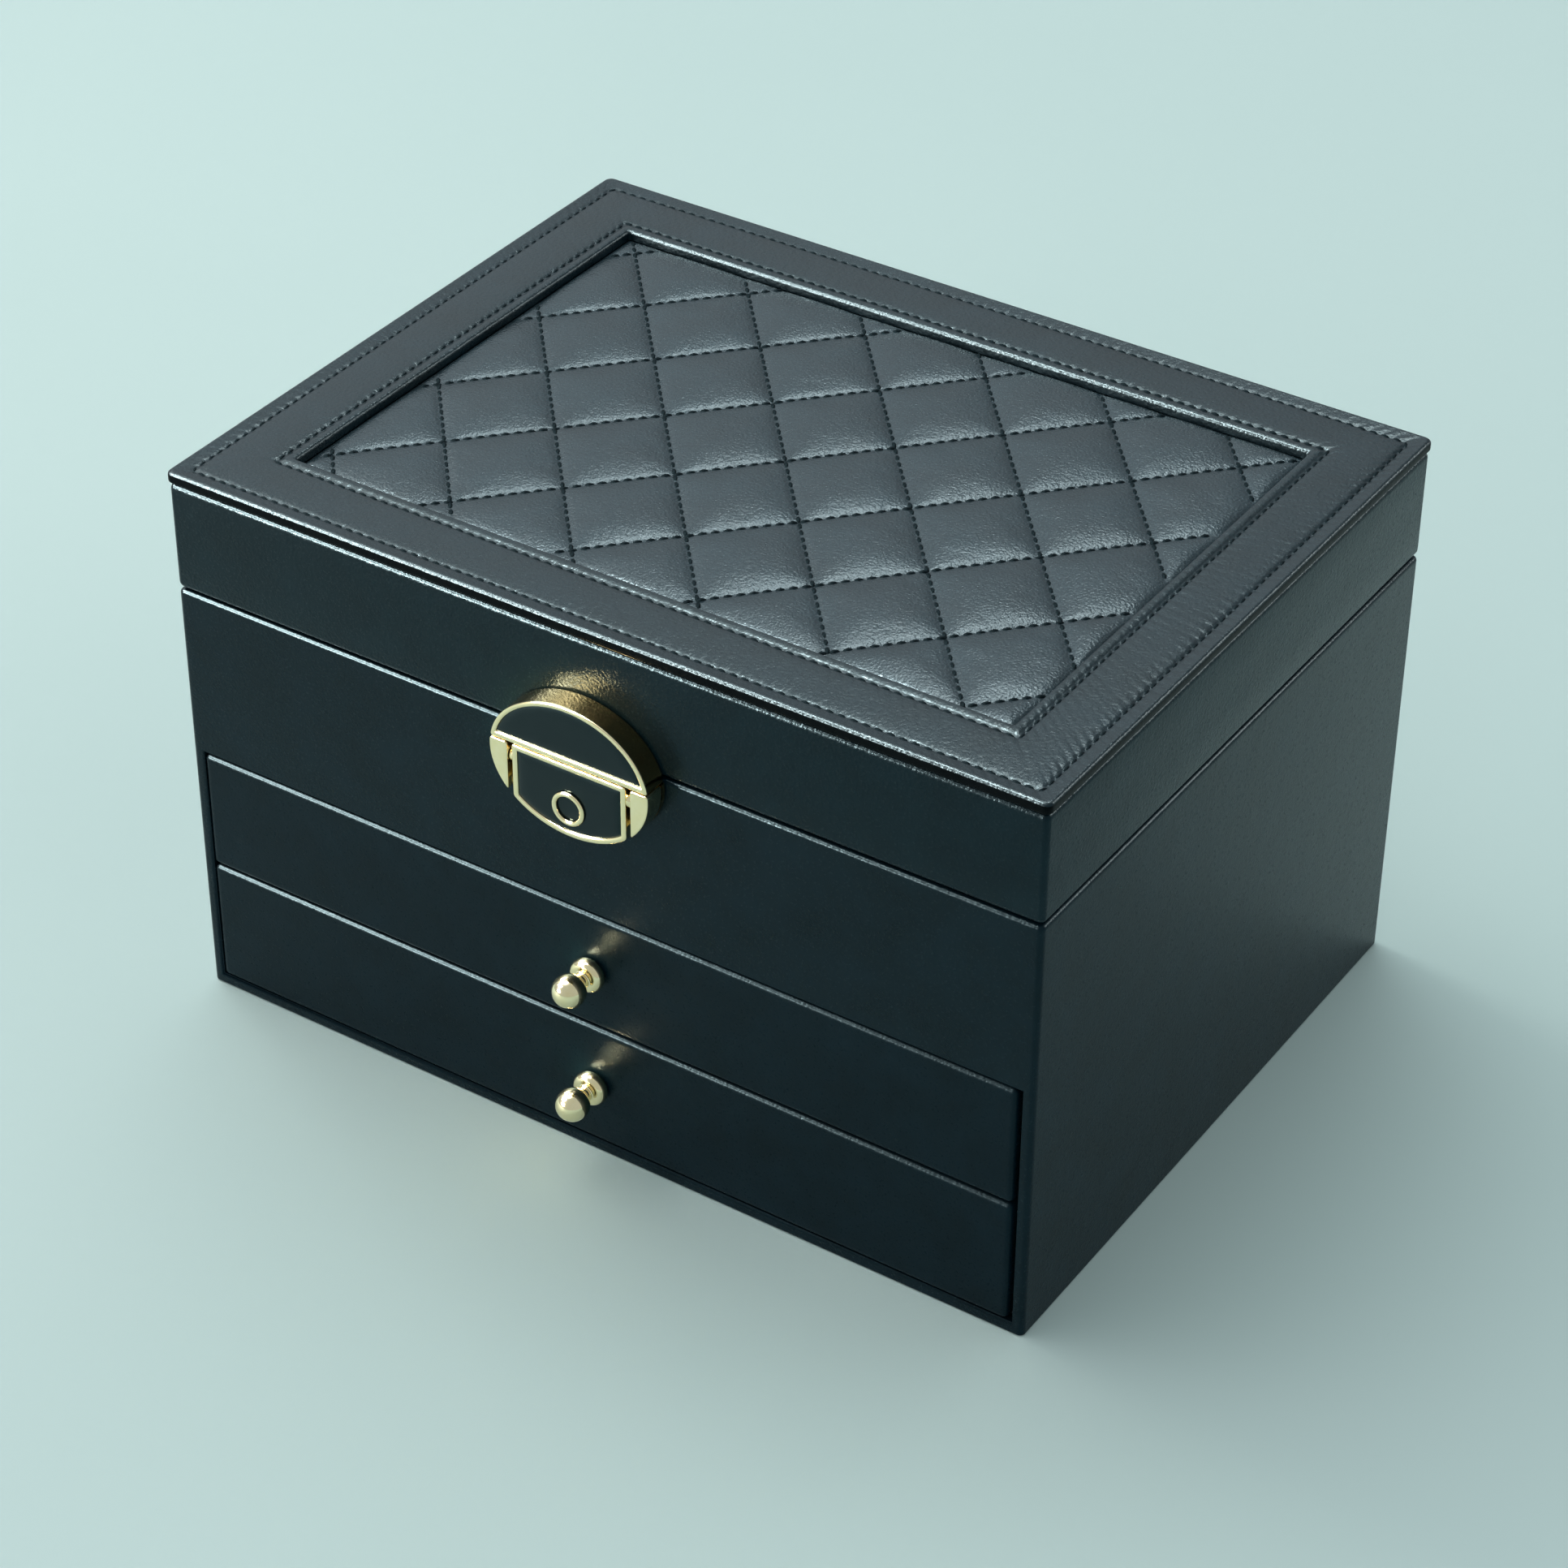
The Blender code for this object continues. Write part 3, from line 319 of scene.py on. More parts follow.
def make_piece(name: str, patch: Patch, finish: "Finish", body: str,
               replaced: tuple[str, ...] = ()) -> bpy.types.Object:
    """Put a surface in the scene as a named piece that rides on a body.

    Args:
        name: the piece's name.
        patch: its surface, closed or in closed parts.
        finish: the finish that dresses it.
        body: the CAD body that carries it.
        replaced: the CAD nodes that it stands for.

    Returns:
        The piece.
    """
    mesh = bpy.data.meshes.new(name)
    mesh.from_pydata(patch.points.tolist(), [], patch.faces)
    shape = bmesh.new()
    shape.from_mesh(mesh)
    bmesh.ops.remove_doubles(shape, verts=shape.verts[:], dist=WELD_DISTANCE)
    bmesh.ops.recalc_face_normals(shape, faces=shape.faces[:])
    if shape.calc_volume(signed=True) < 0:
        bmesh.ops.reverse_faces(shape, faces=shape.faces[:])
    shape.to_mesh(mesh)
    shape.free()
    mesh.shade_smooth()
    mesh.set_sharp_from_angle(angle=SHARP_ANGLE)
    mesh.materials.append(finish.material())
    piece = bpy.data.objects.new(name, mesh)
    bpy.context.scene.collection.objects.link(piece)
    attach(piece, body)
    if replaced:
        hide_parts(*replaced)
    LOG.info("%s: %d faces, on %s", name, len(mesh.polygons), body)
    return piece


def face_centres(piece: bpy.types.Object) -> np.ndarray:
    """The middle of each face of a piece."""
    centres = np.empty(len(piece.data.polygons) * 3)
    piece.data.polygons.foreach_get("center", centres)
    return centres.reshape(-1, 3)


def repaint(piece: bpy.types.Object, finish: "Finish", chosen: np.ndarray) -> None:
    """Give some faces of a piece a second finish.

    Args:
        piece: the piece.
        finish: the second finish.
        chosen: for each face, whether it takes that finish.
    """
    piece.data.materials.append(finish.material())
    piece.data.polygons.foreach_set("material_index", chosen.astype(np.int32))


def dress(finish: "Finish", *nodes: str) -> None:
    """Give CAD nodes the material of a finish.

    Args:
        finish: the finish.
        nodes: the names of the CAD nodes.
    """
    for node in nodes:
        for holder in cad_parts[node].material_slots:
            holder.material = finish.material()
        LOG.info("%s: %s", node, finish.name)


def linear_rgba(hex_colour: str) -> tuple[float, float, float, float]:
    """The linear colour of an sRGB hex value such as #26323A."""
    knee, slope, offset, gamma = 0.04045, 12.92, 0.055, 2.4
    srgb = np.array([int(hex_colour[start:start + 2], 16) for start in (1, 3, 5)]) / 255
    linear = np.where(srgb <= knee, srgb / slope, ((srgb + offset) / (1 + offset)) ** gamma)
    return (*linear.tolist(), 1.0)


def add_node(tree: bpy.types.NodeTree, kind: str, values: dict | None = None,
             links: dict | None = None, **settings: object) -> bpy.types.Node:
    """Add a shader node with its settings, the values of its sockets, and its links.

    Args:
        tree: the material's node tree.
        kind: the node's Blender type.
        values: constants, by socket name or number.
        links: output sockets that feed it, by socket name or number.
        settings: the node's own properties.

    Returns:
        The node.
    """
    node = tree.nodes.new(kind)
    for setting, value in settings.items():
        setattr(node, setting, value)
    for socket, value in (values or {}).items():
        node.inputs[socket].default_value = value
    for socket, source in (links or {}).items():
        tree.links.new(source, node.inputs[socket])
    return node


class Shading:
    """The nodes of a material in the making. Sizes and places are in metres, in object coordinates."""

    def __init__(self, material: bpy.types.Material) -> None:
        """Take up a new material's node tree."""
        material.use_nodes = True
        self.tree = material.node_tree
        self.place = add_node(self.tree, "ShaderNodeTexCoord").outputs["Object"]

    def noise(self, size: float, detail: float, place: bpy.types.NodeSocket | None = None,
              **more: float) -> bpy.types.NodeSocket:
        """Cloudy noise from 0 to 1.

        Args:
            size: the size of its clouds.
            detail: how many finer layers lie over them.
            place: coordinates to use in place of the object's.
            more: values of its other sockets.

        Returns:
            The noise.
        """
        values = {"Scale": 1 / size, "Detail": detail, **more}
        return add_node(self.tree, "ShaderNodeTexNoise", values,
                        {"Vector": place or self.place}).outputs["Fac"]

    def spread(self, value: bpy.types.NodeSocket, source: tuple[float, float],
               target: tuple[float, float] = (0.0, 1.0)) -> bpy.types.NodeSocket:
        """Carry a value in a straight line from a source range to a target range, and keep it there."""
        values = {"From Min": source[0], "From Max": source[1],
                  "To Min": target[0], "To Max": target[1]}
        return add_node(self.tree, "ShaderNodeMapRange", values, {"Value": value}).outputs[0]

    def weighted(self, value: bpy.types.NodeSocket, weight: float,
                 other: bpy.types.NodeSocket) -> bpy.types.NodeSocket:
        """A value times a weight, plus another value."""
        return add_node(self.tree, "ShaderNodeMath", {1: weight}, {0: value, 2: other},
                        operation="MULTIPLY_ADD").outputs[0]

    def blend(self, first: str, second: str, share: bpy.types.NodeSocket) -> bpy.types.NodeSocket:
        """The colour between two hex colours at a share of the way."""
        return add_node(self.tree, "ShaderNodeMix", {6: linear_rgba(first), 7: linear_rgba(second)},
                        {0: share}, data_type="RGBA").outputs[2]

    def bump(self, height: bpy.types.NodeSocket, distance: float, strength: float = 1.0,
             **links: bpy.types.NodeSocket) -> bpy.types.NodeSocket:
        """The normal over a height from 0 to 1 that stands for a distance, on a base normal if given."""
        return add_node(self.tree, "ShaderNodeBump", {"Strength": strength, "Distance": distance},
                        {"Height": height, **links}).outputs[0]

    def paint(self, inputs: dict[str, float | str | bpy.types.NodeSocket]) -> None:
        """Feed the Principled shader: sockets are linked, hex colours and numbers are set."""
        shader = self.tree.nodes["Principled BSDF"]
        for name, value in inputs.items():
            if isinstance(value, bpy.types.NodeSocket):
                self.tree.links.new(value, shader.inputs[name])
            else:
                constant = linear_rgba(value) if isinstance(value, str) else value
                shader.inputs[name].default_value = constant


@dataclass(frozen=True)
class Finish:
    """A finish: the name of its material, and the name of the slot that it belongs to."""

    name: str
    slot: str

    def material(self) -> bpy.types.Material:
        """The finish's material, made once."""
        made = bpy.data.materials.get(self.name)
        if not made:
            made = bpy.data.materials.new(self.name)
            self.build(Shading(made))
        return made

    def build(self, shading: Shading) -> None:
        """Add the finish's own nodes to its material."""
        raise NotImplementedError


@dataclass(frozen=True)
class Leather(Finish):
    """Smooth calf-grain leatherette: a pressed fine grain under a satin top coat.

    The pebbles of the grain break up the gloss, so rounded edges shine in a fine speckle, and slow
    changes of tone and gloss show how the skin lies over the board.
    """

    colour: str = "#03141B"
    light_colour: str = "#081D26"
    # Teal tint of the reflections: painted reflection of teal surroundings
    painted_teal_reflection_tint: str = "#C8EBF4"
    roughness: float = 0.24
    specular: float = 0.17
    # A real pebble is 0.3 mm; it is drawn at 0.8 mm, so that it shows
    pebble: float = 0.0008
    relief: float = 0.00006
    wave: float = 0.007
    wave_relief: float = 0.00006
    mottle: float = 0.016
    pebble_weight: float = 0.6
    relief_strength: float = 0.8
    duller: float = 0.06
    glossier: float = 0.05
    mottle_roughness: float = 0.6
    mottle_span: tuple[float, float] = (0.3, 0.7)
    speck_span: tuple[float, float] = (0.25, 0.75)

    def build(self, shading: Shading) -> None:
        """Pebbled bump, slow mottling of the colour, and a gloss that varies with both."""
        pebbles = add_node(shading.tree, "ShaderNodeTexVoronoi", {"Scale": 1 / self.pebble},
                           {"Vector": shading.place}, feature="SMOOTH_F1").outputs["Distance"]
        specks = shading.noise(self.pebble, detail=3.0)
        clouds = shading.noise(self.mottle, detail=4.0, Roughness=self.mottle_roughness)
        mottle = shading.spread(clouds, self.mottle_span)
        grain = shading.weighted(pebbles, self.pebble_weight, specks)
        sway = shading.bump(shading.noise(self.wave, detail=2.0), self.wave_relief)
        gloss = (self.roughness - self.glossier, self.roughness + self.duller)
        shading.paint({
            "Base Color": shading.blend(self.colour, self.light_colour, mottle),
            "Roughness": shading.spread(specks, self.speck_span, gloss),
            "Specular IOR Level": self.specular,
            "Specular Tint": self.painted_teal_reflection_tint,
            "Normal": shading.bump(grain, self.relief, self.relief_strength, Normal=sway)})


@dataclass(frozen=True)
class Velvet(Finish):
    """Flocked velvet lining: short upright fibres, so it is matt face on and paler at its edges."""

    colour: str = "#43474E"
    brushed_colour: str = "#555A62"
    # Fibre tufts are 0.1 mm; they are drawn at 0.5 mm
    tuft: float = 0.0005
    tuft_relief: float = 0.0001
    tuft_strength: float = 0.7
    brushing: float = 0.012
    brushing_warp: float = 0.6
    brushing_span: tuple[float, float] = (0.35, 0.65)
    roughness: float = 0.95
    sheen: float = 0.5
    sheen_roughness: float = 0.4
    specular: float = 0.2

    def build(self, shading: Shading) -> None:
        """Tufts as bump, and patches where the pile was brushed the other way."""
        clouds = shading.noise(self.brushing, detail=3.0, Distortion=self.brushing_warp)
        nap = shading.spread(clouds, self.brushing_span)
        tufts = shading.noise(self.tuft, detail=2.0)
        shading.paint({
            "Base Color": shading.blend(self.colour, self.brushed_colour, nap),
            "Roughness": self.roughness,
            "Sheen Weight": self.sheen,
            "Sheen Roughness": self.sheen_roughness,
            "Specular IOR Level": self.specular,
            "Normal": shading.bump(tufts, self.tuft_relief, self.tuft_strength)})


@dataclass(frozen=True)
class Metal(Finish):
    """Die-cast or drawn metal, polished and plated: mirror-like, with faint wipe marks in its gloss."""

    colour: str
    worn_colour: str
    roughness: float
    # Wipe marks are 3 mm patches with 0.2 mm lines in them, stretched along X
    smear: float = 0.003
    line: float = 0.0002
    stretch: float = 0.06
    line_weight: float = 0.5
    mark_span: tuple[float, float] = (0.4, 1.1)
    gloss_shares: tuple[float, float] = (0.7, 1.5)

    def build(self, shading: Shading) -> None:
        """A slow change of tone, and fine lines in the gloss."""
        smears = shading.noise(self.smear, detail=3.0)
        stretched = add_node(shading.tree, "ShaderNodeMapping", {"Scale": (self.stretch, 1.0, 1.0)},
                             {"Vector": shading.place}).outputs[0]
        lines = shading.noise(self.line, detail=2.0, place=stretched)
        marks = shading.weighted(lines, self.line_weight, smears)
        gloss = tuple(self.roughness * share for share in self.gloss_shares)
        shading.paint({
            "Metallic": 1.0,
            "Base Color": shading.blend(self.colour, self.worn_colour, smears),
            "Roughness": shading.spread(marks, self.mark_span, gloss)})


@dataclass(frozen=True)
class Enamel(Finish):
    """Poured epoxy enamel: a smooth, slightly domed dark glass with a few tiny dimples."""

    colour: str = "#0A1416"
    # Teal tint of the reflections: painted reflection of teal surroundings
    painted_teal_reflection_tint: str = "#BCE8F0"
    roughness: float = 0.2
    specular: float = 0.3
    dimple: float = 0.004
    dimple_relief: float = 0.00005
    dimple_strength: float = 0.3
    gloss_shares: tuple[float, float] = (0.8, 1.3)

    def build(self, shading: Shading) -> None:
        """A very low, slow bump, and a gloss that varies with it."""
        waves = shading.noise(self.dimple, detail=1.0)
        gloss = tuple(self.roughness * share for share in self.gloss_shares)
        shading.paint({
            "Base Color": self.colour,
            "Specular IOR Level": self.specular,
            "Specular Tint": self.painted_teal_reflection_tint,
            "Roughness": shading.spread(waves, (0.0, 1.0), gloss),
            "Normal": shading.bump(waves, self.dimple_relief, self.dimple_strength)})


@dataclass(frozen=True)
class Thread(Finish):
    """Bonded polyester thread, twisted from three plies: dark, with a dull shine on each ply."""

    colour: str = "#03080B"
    ply_colour: str = "#081116"
    # Teal tint of the reflections: painted reflection of teal surroundings
    painted_teal_reflection_tint: str = "#9BD3E4"
    ply: float = 0.0004
    ply_relief: float = 0.00005
    ply_strength: float = 0.5
    roughness: float = 0.7
    specular: float = 0.05

    def build(self, shading: Shading) -> None:
        """Slanting bands for the plies, in bump and in tone."""
        plies = add_node(shading.tree, "ShaderNodeTexWave", {"Scale": 1 / (2 * math.pi * self.ply)},
                         {"Vector": shading.place}, bands_direction="DIAGONAL").outputs["Fac"]
        shading.paint({
            "Base Color": shading.blend(self.colour, self.ply_colour, plies),
            "Roughness": self.roughness,
            "Specular IOR Level": self.specular,
            "Specular Tint": self.painted_teal_reflection_tint,
            "Normal": shading.bump(plies, self.ply_relief, self.ply_strength)})


@dataclass(frozen=True)
class MirrorGlass(Finish):
    """Float glass silvered at its back: a clean reflection, a touch of green in it, and faint dust."""

    colour: str = "#DDE5E3"
    dust: float = 0.006
    dust_span: tuple[float, float] = (0.4, 0.9)
    clean: float = 0.015
    dusty: float = 0.06

    def build(self, shading: Shading) -> None:
        """Nearly perfect gloss, a little duller where dust lies."""
        dust = shading.noise(self.dust, detail=5.0)
        gloss = shading.spread(dust, self.dust_span, (self.clean, self.dusty))
        shading.paint({"Metallic": 1.0, "Base Color": self.colour, "Roughness": gloss})


@dataclass(frozen=True)
class FloorPaint(Finish):
    """Matt paint on the studio's floor, with the faintest mottling."""

    colour: str = "#BDD1CC"
    light_colour: str = "#C4D7D2"
    cloud: float = 1 / 3
    roughness: float = 0.9
    specular: float = 0.1

    def build(self, shading: Shading) -> None:
        """A slow, slight change of tone."""
        clouds = shading.noise(self.cloud, detail=2.0)
        shading.paint({
            "Base Color": shading.blend(self.colour, self.light_colour, clouds),
            "Roughness": self.roughness,
            "Specular IOR Level": self.specular})


# One leather in several copies. The lid, border and quilt copies are lighter than the case's: painted
# light on the lid and on the top
CASE_LEATHER = Leather("smooth_calf_leatherette", "case_leather")
LIT_LID_LEATHER = Leather("lid_leatherette_painted_light", "case_leather", "#0A1A20", "#0E2229", relief=0.0001)
DRAWER_LEATHER = Leather("drawer_calf_leatherette", "case_leather", roughness=0.30, specular=0.12)
LIT_BORDER_LEATHER = Leather("border_leatherette_painted_light", "border_leather", "#07161B", "#0E2027", "#D2EEF6",
                         0.29, 0.25, 0.0009, 0.00014, 0.006, 0.00015)
LIT_QUILT_LEATHER = Leather("quilt_leatherette_painted_light", "quilt_leather", "#0B1B21", "#11252C", "#D2EDF7",
                        0.28, 0.34, 0.0007, 0.00018, 0.006, 0.00007)
# Near-black leather for the band's outer side: board edge paint, and painted shade of the gap under the
# band
EDGE_PAINT_AND_GAP_SHADE = Leather("board_edge_paint_and_gap_shade", "border_leather", "#020406", "#05090B", "#D2EDF7",
                     0.30, 0.05, 0.0011, 0.00006)
GOLD = Metal("polished_gold_plate", "gold_metal", "#FAEDC6", "#EEDCA6", 0.10)
# A darker copy of the polished gold: painted shade for sides that look dark because they reflect dark
# surroundings
SHADED_GOLD = Metal("gold_plate_painted_shade", "gold_metal", "#BFA473", "#AF9460", 0.11)
STEEL = Metal("nickelled_steel", "steel", "#A9ABAD", "#96989A", 0.28)
ENAMEL = Enamel("black_epoxy_enamel", "black_enamel")
VELVET = Velvet("flocked_velvet", "velvet")
MIRROR = MirrorGlass("silvered_glass", "mirror_glass")
THREAD = Thread("bonded_thread", "border_leather")
FLOOR_PAINT = FloorPaint("matt_floor_paint", "studio")


@dataclass
class StitchRow:
    """A row of stitches: short threads that dip into the leather at both ends."""

    length: float = 0.0026
    radius: float = 0.00042
    flatness: float = 0.75
    dip: float = 0.0004
    # The rings' places and girths, as shares of the length and the radius
    places: tuple[float, ...] = (-0.5, -0.36, 0.0, 0.36, 0.5)
    girths: tuple[float, ...] = (0.35, 0.85, 1.0, 0.85, 0.35)

    def pattern(self) -> Patch:
        """One stitch: hexagonal rings along its length, thin at its ends, whose middle lies highest."""
        share = np.array(self.places)
        girth = self.radius * np.array(self.girths)
        turn = np.linspace(0, 2 * np.pi, 6, endpoint=False)
        rings = np.empty((len(share), len(turn), 3))
        rings[..., 0] = (share * self.length)[:, None]
        rings[..., 1] = girth[:, None] * np.cos(turn)
        sag = -self.dip * (2 * share) ** 2
        rings[..., 2] = sag[:, None] + self.flatness * girth[:, None] * np.sin(turn)
        return loft(rings)

    def sew(self, name: str, places: np.ndarray, along: np.ndarray, body: str) -> bpy.types.Object:
        """Lay a stitch at each place.

        Args:
            name: the row's name.
            places: the middle of each stitch.
            along: the unit direction of each stitch.
            body: the body that carries the row.

        Returns:
            The row as one piece.
        """
        up = np.broadcast_to(np.array([0.0, 0.0, 1.0]), places.shape)
        return make_piece(name, repeated(self.pattern(), places, along, up), THREAD, body)


@dataclass
class CaseShell:
    """The case's leather skin over its boards, in one piece round the corners and the drawer opening."""

    half: tuple[float, float] = (0.130, 0.097)
    height: float = 0.1285
    wall: float = 0.0034
    corner_radius: float = 0.0017
    rim_radius: float = 0.0013
    foot_radius: float = 0.0006
    opening_low: float = 0.0031
    opening_high: float = 0.0780
    opening_edge: float = 0.0007
    arc_steps: int = 8
    edge_steps: int = 5
    hold: float = 0.0004
    lining_gap: float = 0.00002
    lining_thickness: float = 0.00024
    lining_low: float = 0.0816
    lining_drop: float = 0.0045
    lining_corner: float = 0.0003
    base_gap: float = 0.0001
    base_edge: float = 0.0004
    base_inset: float = 0.0005
    base_corner: float = 0.0008

    def plan_loop(self, inset: float) -> np.ndarray:
        """The case's plan, drawn in, and last the drawer opening's upright edges on the front."""
        loop = shrinking(self.half, self.corner_radius, 0.0, self.arc_steps)(inset)
        opening, front = self.half[0] - self.wall, inset - self.half[1]
        return np.concatenate([loop, [(-opening, front), (opening, front)]])

    def section(self) -> np.ndarray:
        """Rows of inset and height round the wall's section: up outside, over the rim, down inside."""
        top, foot, rim, wall = self.height, self.foot_radius, self.rim_radius, self.wall
        outside = [(0, foot + self.hold), (0, self.opening_low), (0, self.opening_high),
                   (0, top - rim - self.hold)]
        inside = [(wall, top - rim - self.hold), (wall, self.opening_high), (wall, self.opening_low),
                  (wall, foot + self.hold)]
        return np.concatenate([
            arc((foot, foot), foot, 270, 180, self.edge_steps), outside,
            arc((rim, top - rim), rim, 180, 90, self.edge_steps),
            arc((wall - rim, top - rim), rim, 90, 0, self.edge_steps), inside,
            arc((wall - foot, foot), foot, 360, 270, self.edge_steps)])

    def build_skin(self) -> None:
        """Carry the wall's section round the plan, cut the drawer opening and round its edges.

        The opening leaves out the face between its upright edges in the outer and in the inner wall, and
        four faces join the edges of the two holes.
        """
        skin = stacked(self.plan_loop, self.section(), 0.0, Facing.TOP, Ends.JOINED)
        around = len(self.plan_loop(0.0))
        outer_low = self.edge_steps + 2
        inner_high = outer_low + 3 + 2 * (self.edge_steps + 1) + 1
        left, right = around - 2, around - 1
        opened = {(outer_low * around + left), (inner_high * around + left)}
        skin.faces = [face for face in skin.faces if face[0] not in opened or face[1] != face[0] + 1]
        outer, inner = ([low * around + left, low * around + right, high * around + right,
                         high * around + left]
                        for low, high in ((outer_low, outer_low + 1), (inner_high + 1, inner_high)))
        skin.faces += [[outer[side - 1], outer[side], inner[side], inner[side - 1]]
                       for side in range(4)]
        corners = skin.points[outer]
        piece = make_piece("case_leather_shell", skin, CASE_LEATHER, "case",
                           ("side_wall_left", "side_wall_right", "back_wall", "front_band_panel"))
        self.round_opening(piece, corners)

    def round_opening(self, piece: bpy.types.Object, corners: np.ndarray) -> None:
        """Bevel the edges of the skin whose ends both lie at the opening's four outer corners."""
        mesh = piece.data
        points = np.empty(len(mesh.vertices) * 3)
        mesh.vertices.foreach_get("co", points)
        gaps = np.linalg.norm(points.reshape(-1, 1, 3) - corners, axis=2)
        at_corner = (gaps < 10 * WELD_DISTANCE).any(axis=1)
        ends = np.empty(len(mesh.edges) * 2, dtype=int)
        mesh.edges.foreach_get("vertices", ends)
        weights = at_corner[ends.reshape(-1, 2)].all(axis=1).astype(np.float32)
        mesh.attributes.new("bevel_weight_edge", "FLOAT", "EDGE").data.foreach_set("value", weights)
        bevel = piece.modifiers.new("rounded_opening", "BEVEL")
        bevel.limit_method = "WEIGHT"
        bevel.width = self.opening_edge
        bevel.segments = 4
        bevel.use_clamp_overlap = False
        bevel.harden_normals = True

    def build_lining(self) -> None:
        """The velvet sleeve inside the walls of the tray, its section a thin upright rectangle."""
        near = self.wall + self.lining_gap
        far = near + self.lining_thickness
        high = self.height - self.lining_drop
        section = np.array([(near, self.lining_low), (near, high), (far, high), (far, self.lining_low)])
        outline = shrinking(self.half, self.lining_corner, self.lining_corner, 3)
        patch = stacked(outline, section, 0.0, Facing.TOP, Ends.JOINED)
        make_piece("tray_wall_lining", patch, VELVET, "case")

    def build_base(self) -> None:
        """The base board behind the front rail, its edges eased."""
        low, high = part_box("bottom_board")
        front = -self.half[1] + self.wall + self.base_gap
        half = (self.half[0] - self.wall - self.base_gap, (high.y - front) / 2)
        profile = board_profile(high.z - low.z, self.base_edge, self.base_inset, self.hold)
        outline = shrinking(half, self.base_corner, self.base_corner, 3, (0.0, (high.y + front) / 2))
        make_piece("case_base_board", stacked(outline, profile, low.z, Facing.TOP), VELVET, "case",
                   ("bottom_board",))

    def build(self) -> None:
        """Make the skin, the sleeve and the base, and line the tray and the shelf."""
        self.build_skin()
        self.build_lining()
        self.build_base()
        dress(VELVET, "drawer_shelf", "tray_floor", "tray_divider_long", "tray_divider_left",
              "tray_divider_right", "ring_bed")


@dataclass
class RingRolls:
    """Six padded velvet rolls side by side, with slots for rings between them."""

    count: int = 6
    around: int = 40
    lengthwise: int = 72
    end_radius: float = 0.0052
    squareness: float = 2.6
    sag: float = 0.0004
    crease: float = 0.00022
    creases: int = 9
    crease_reach: float = 0.006

    def roll(self, number: int) -> np.ndarray:
        """Rings of points of one roll, along X, inside the box of its CAD solid.

        A point at turn t of the section is the half width times cos t and the half height times sin t,
        each raised to 2/n as in a superellipse. The section shrinks to a point at both ends along a
        quarter circle, sinks a little in the middle, and has faint creases that fade from the ends.
        """
        low, high = (np.array(corner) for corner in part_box("ring_roll_" + str(number)))
        centre, half = (low + high) / 2, (high - low) / 2
        place = np.sin(np.linspace(-QUARTER_TURN, QUARTER_TURN, self.lengthwise)) * half[0]
        left = half[0] - np.abs(place)
        girth = np.sqrt(1 - (1 - np.clip(left / self.end_radius, 0, 1)) ** 2)
        turn = np.linspace(0, 2 * np.pi, self.around, endpoint=False)
        across, upward = (np.sign(wave) * np.abs(wave) ** (2 / self.squareness)
                          for wave in (np.cos(turn), np.sin(turn)))
        creases = np.sin(self.creases * turn + number) * np.exp(-left[:, None] / self.crease_reach)
        shrink = girth[:, None] * (1 - self.crease / half[2] * (1 + creases))
        droop = self.sag * np.cos(place / half[0] * QUARTER_TURN)[:, None] * (upward > 0)
        rings = np.empty((len(place), len(turn), 3))
        rings[..., 0] = centre[0] + place[:, None]
        rings[..., 1] = centre[1] + half[1] * across * shrink
        rings[..., 2] = centre[2] + half[2] * upward * shrink - droop
        return rings

    def build(self) -> None:
        for number in range(1, self.count + 1):
            name = "ring_roll_" + str(number)
            piece = make_piece(name + "_velvet", loft(self.roll(number)), VELVET, "case", (name,))


@dataclass
class Knob:
    """A turned and plated drawer knob: a rounded collar, a thin neck and a ball."""

    collar_radius: float = 0.0049
    collar_length: float = 0.0040
    collar_edge: float = 0.0019
    base_edge: float = 0.0015
    neck_radius: float = 0.0021
    neck_fillet: float = 0.0005
    ball_radius: float = 0.0046
    length: float = 0.0143
    hold: float = 0.0002
    steps: int = 72

    def build(self, word: str) -> None:
        """Turn the knob of the drawer with a name about its axis, out from the drawer's face."""
        node = "drawer_" + word + "_knob"
        low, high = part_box(node)
        ball = self.length - self.ball_radius
        meet = ball - math.sqrt(self.ball_radius ** 2 - self.neck_radius ** 2)
        open_angle = -90 + math.degrees(math.asin(self.neck_radius / self.ball_radius))
        collar, base = self.collar_length, self.base_edge
        edge, fillet = self.collar_edge, self.neck_fillet
        profile = np.concatenate([
            [(0, 0), (self.collar_radius - base - self.hold, 0)],
            arc((self.collar_radius - base, base), base, -90, 0, 8),
            arc((self.collar_radius - edge, collar - edge), edge, 0, 90, 8),
            [(self.neck_radius + fillet + self.hold, collar)],
            arc((self.neck_radius + fillet, collar + fillet), fillet, 270, 180, 5),
            [(self.neck_radius, meet)],
            arc((0, ball), self.ball_radius, open_angle + 4, 90, 26)])
        profile[:, 1] = high.y - profile[:, 1]
        patch = turned(profile, (0, 0, (low.z + high.z) / 2), 1, self.steps)
        make_piece(node + "_turned", patch, GOLD, "drawer_" + word, (node,))


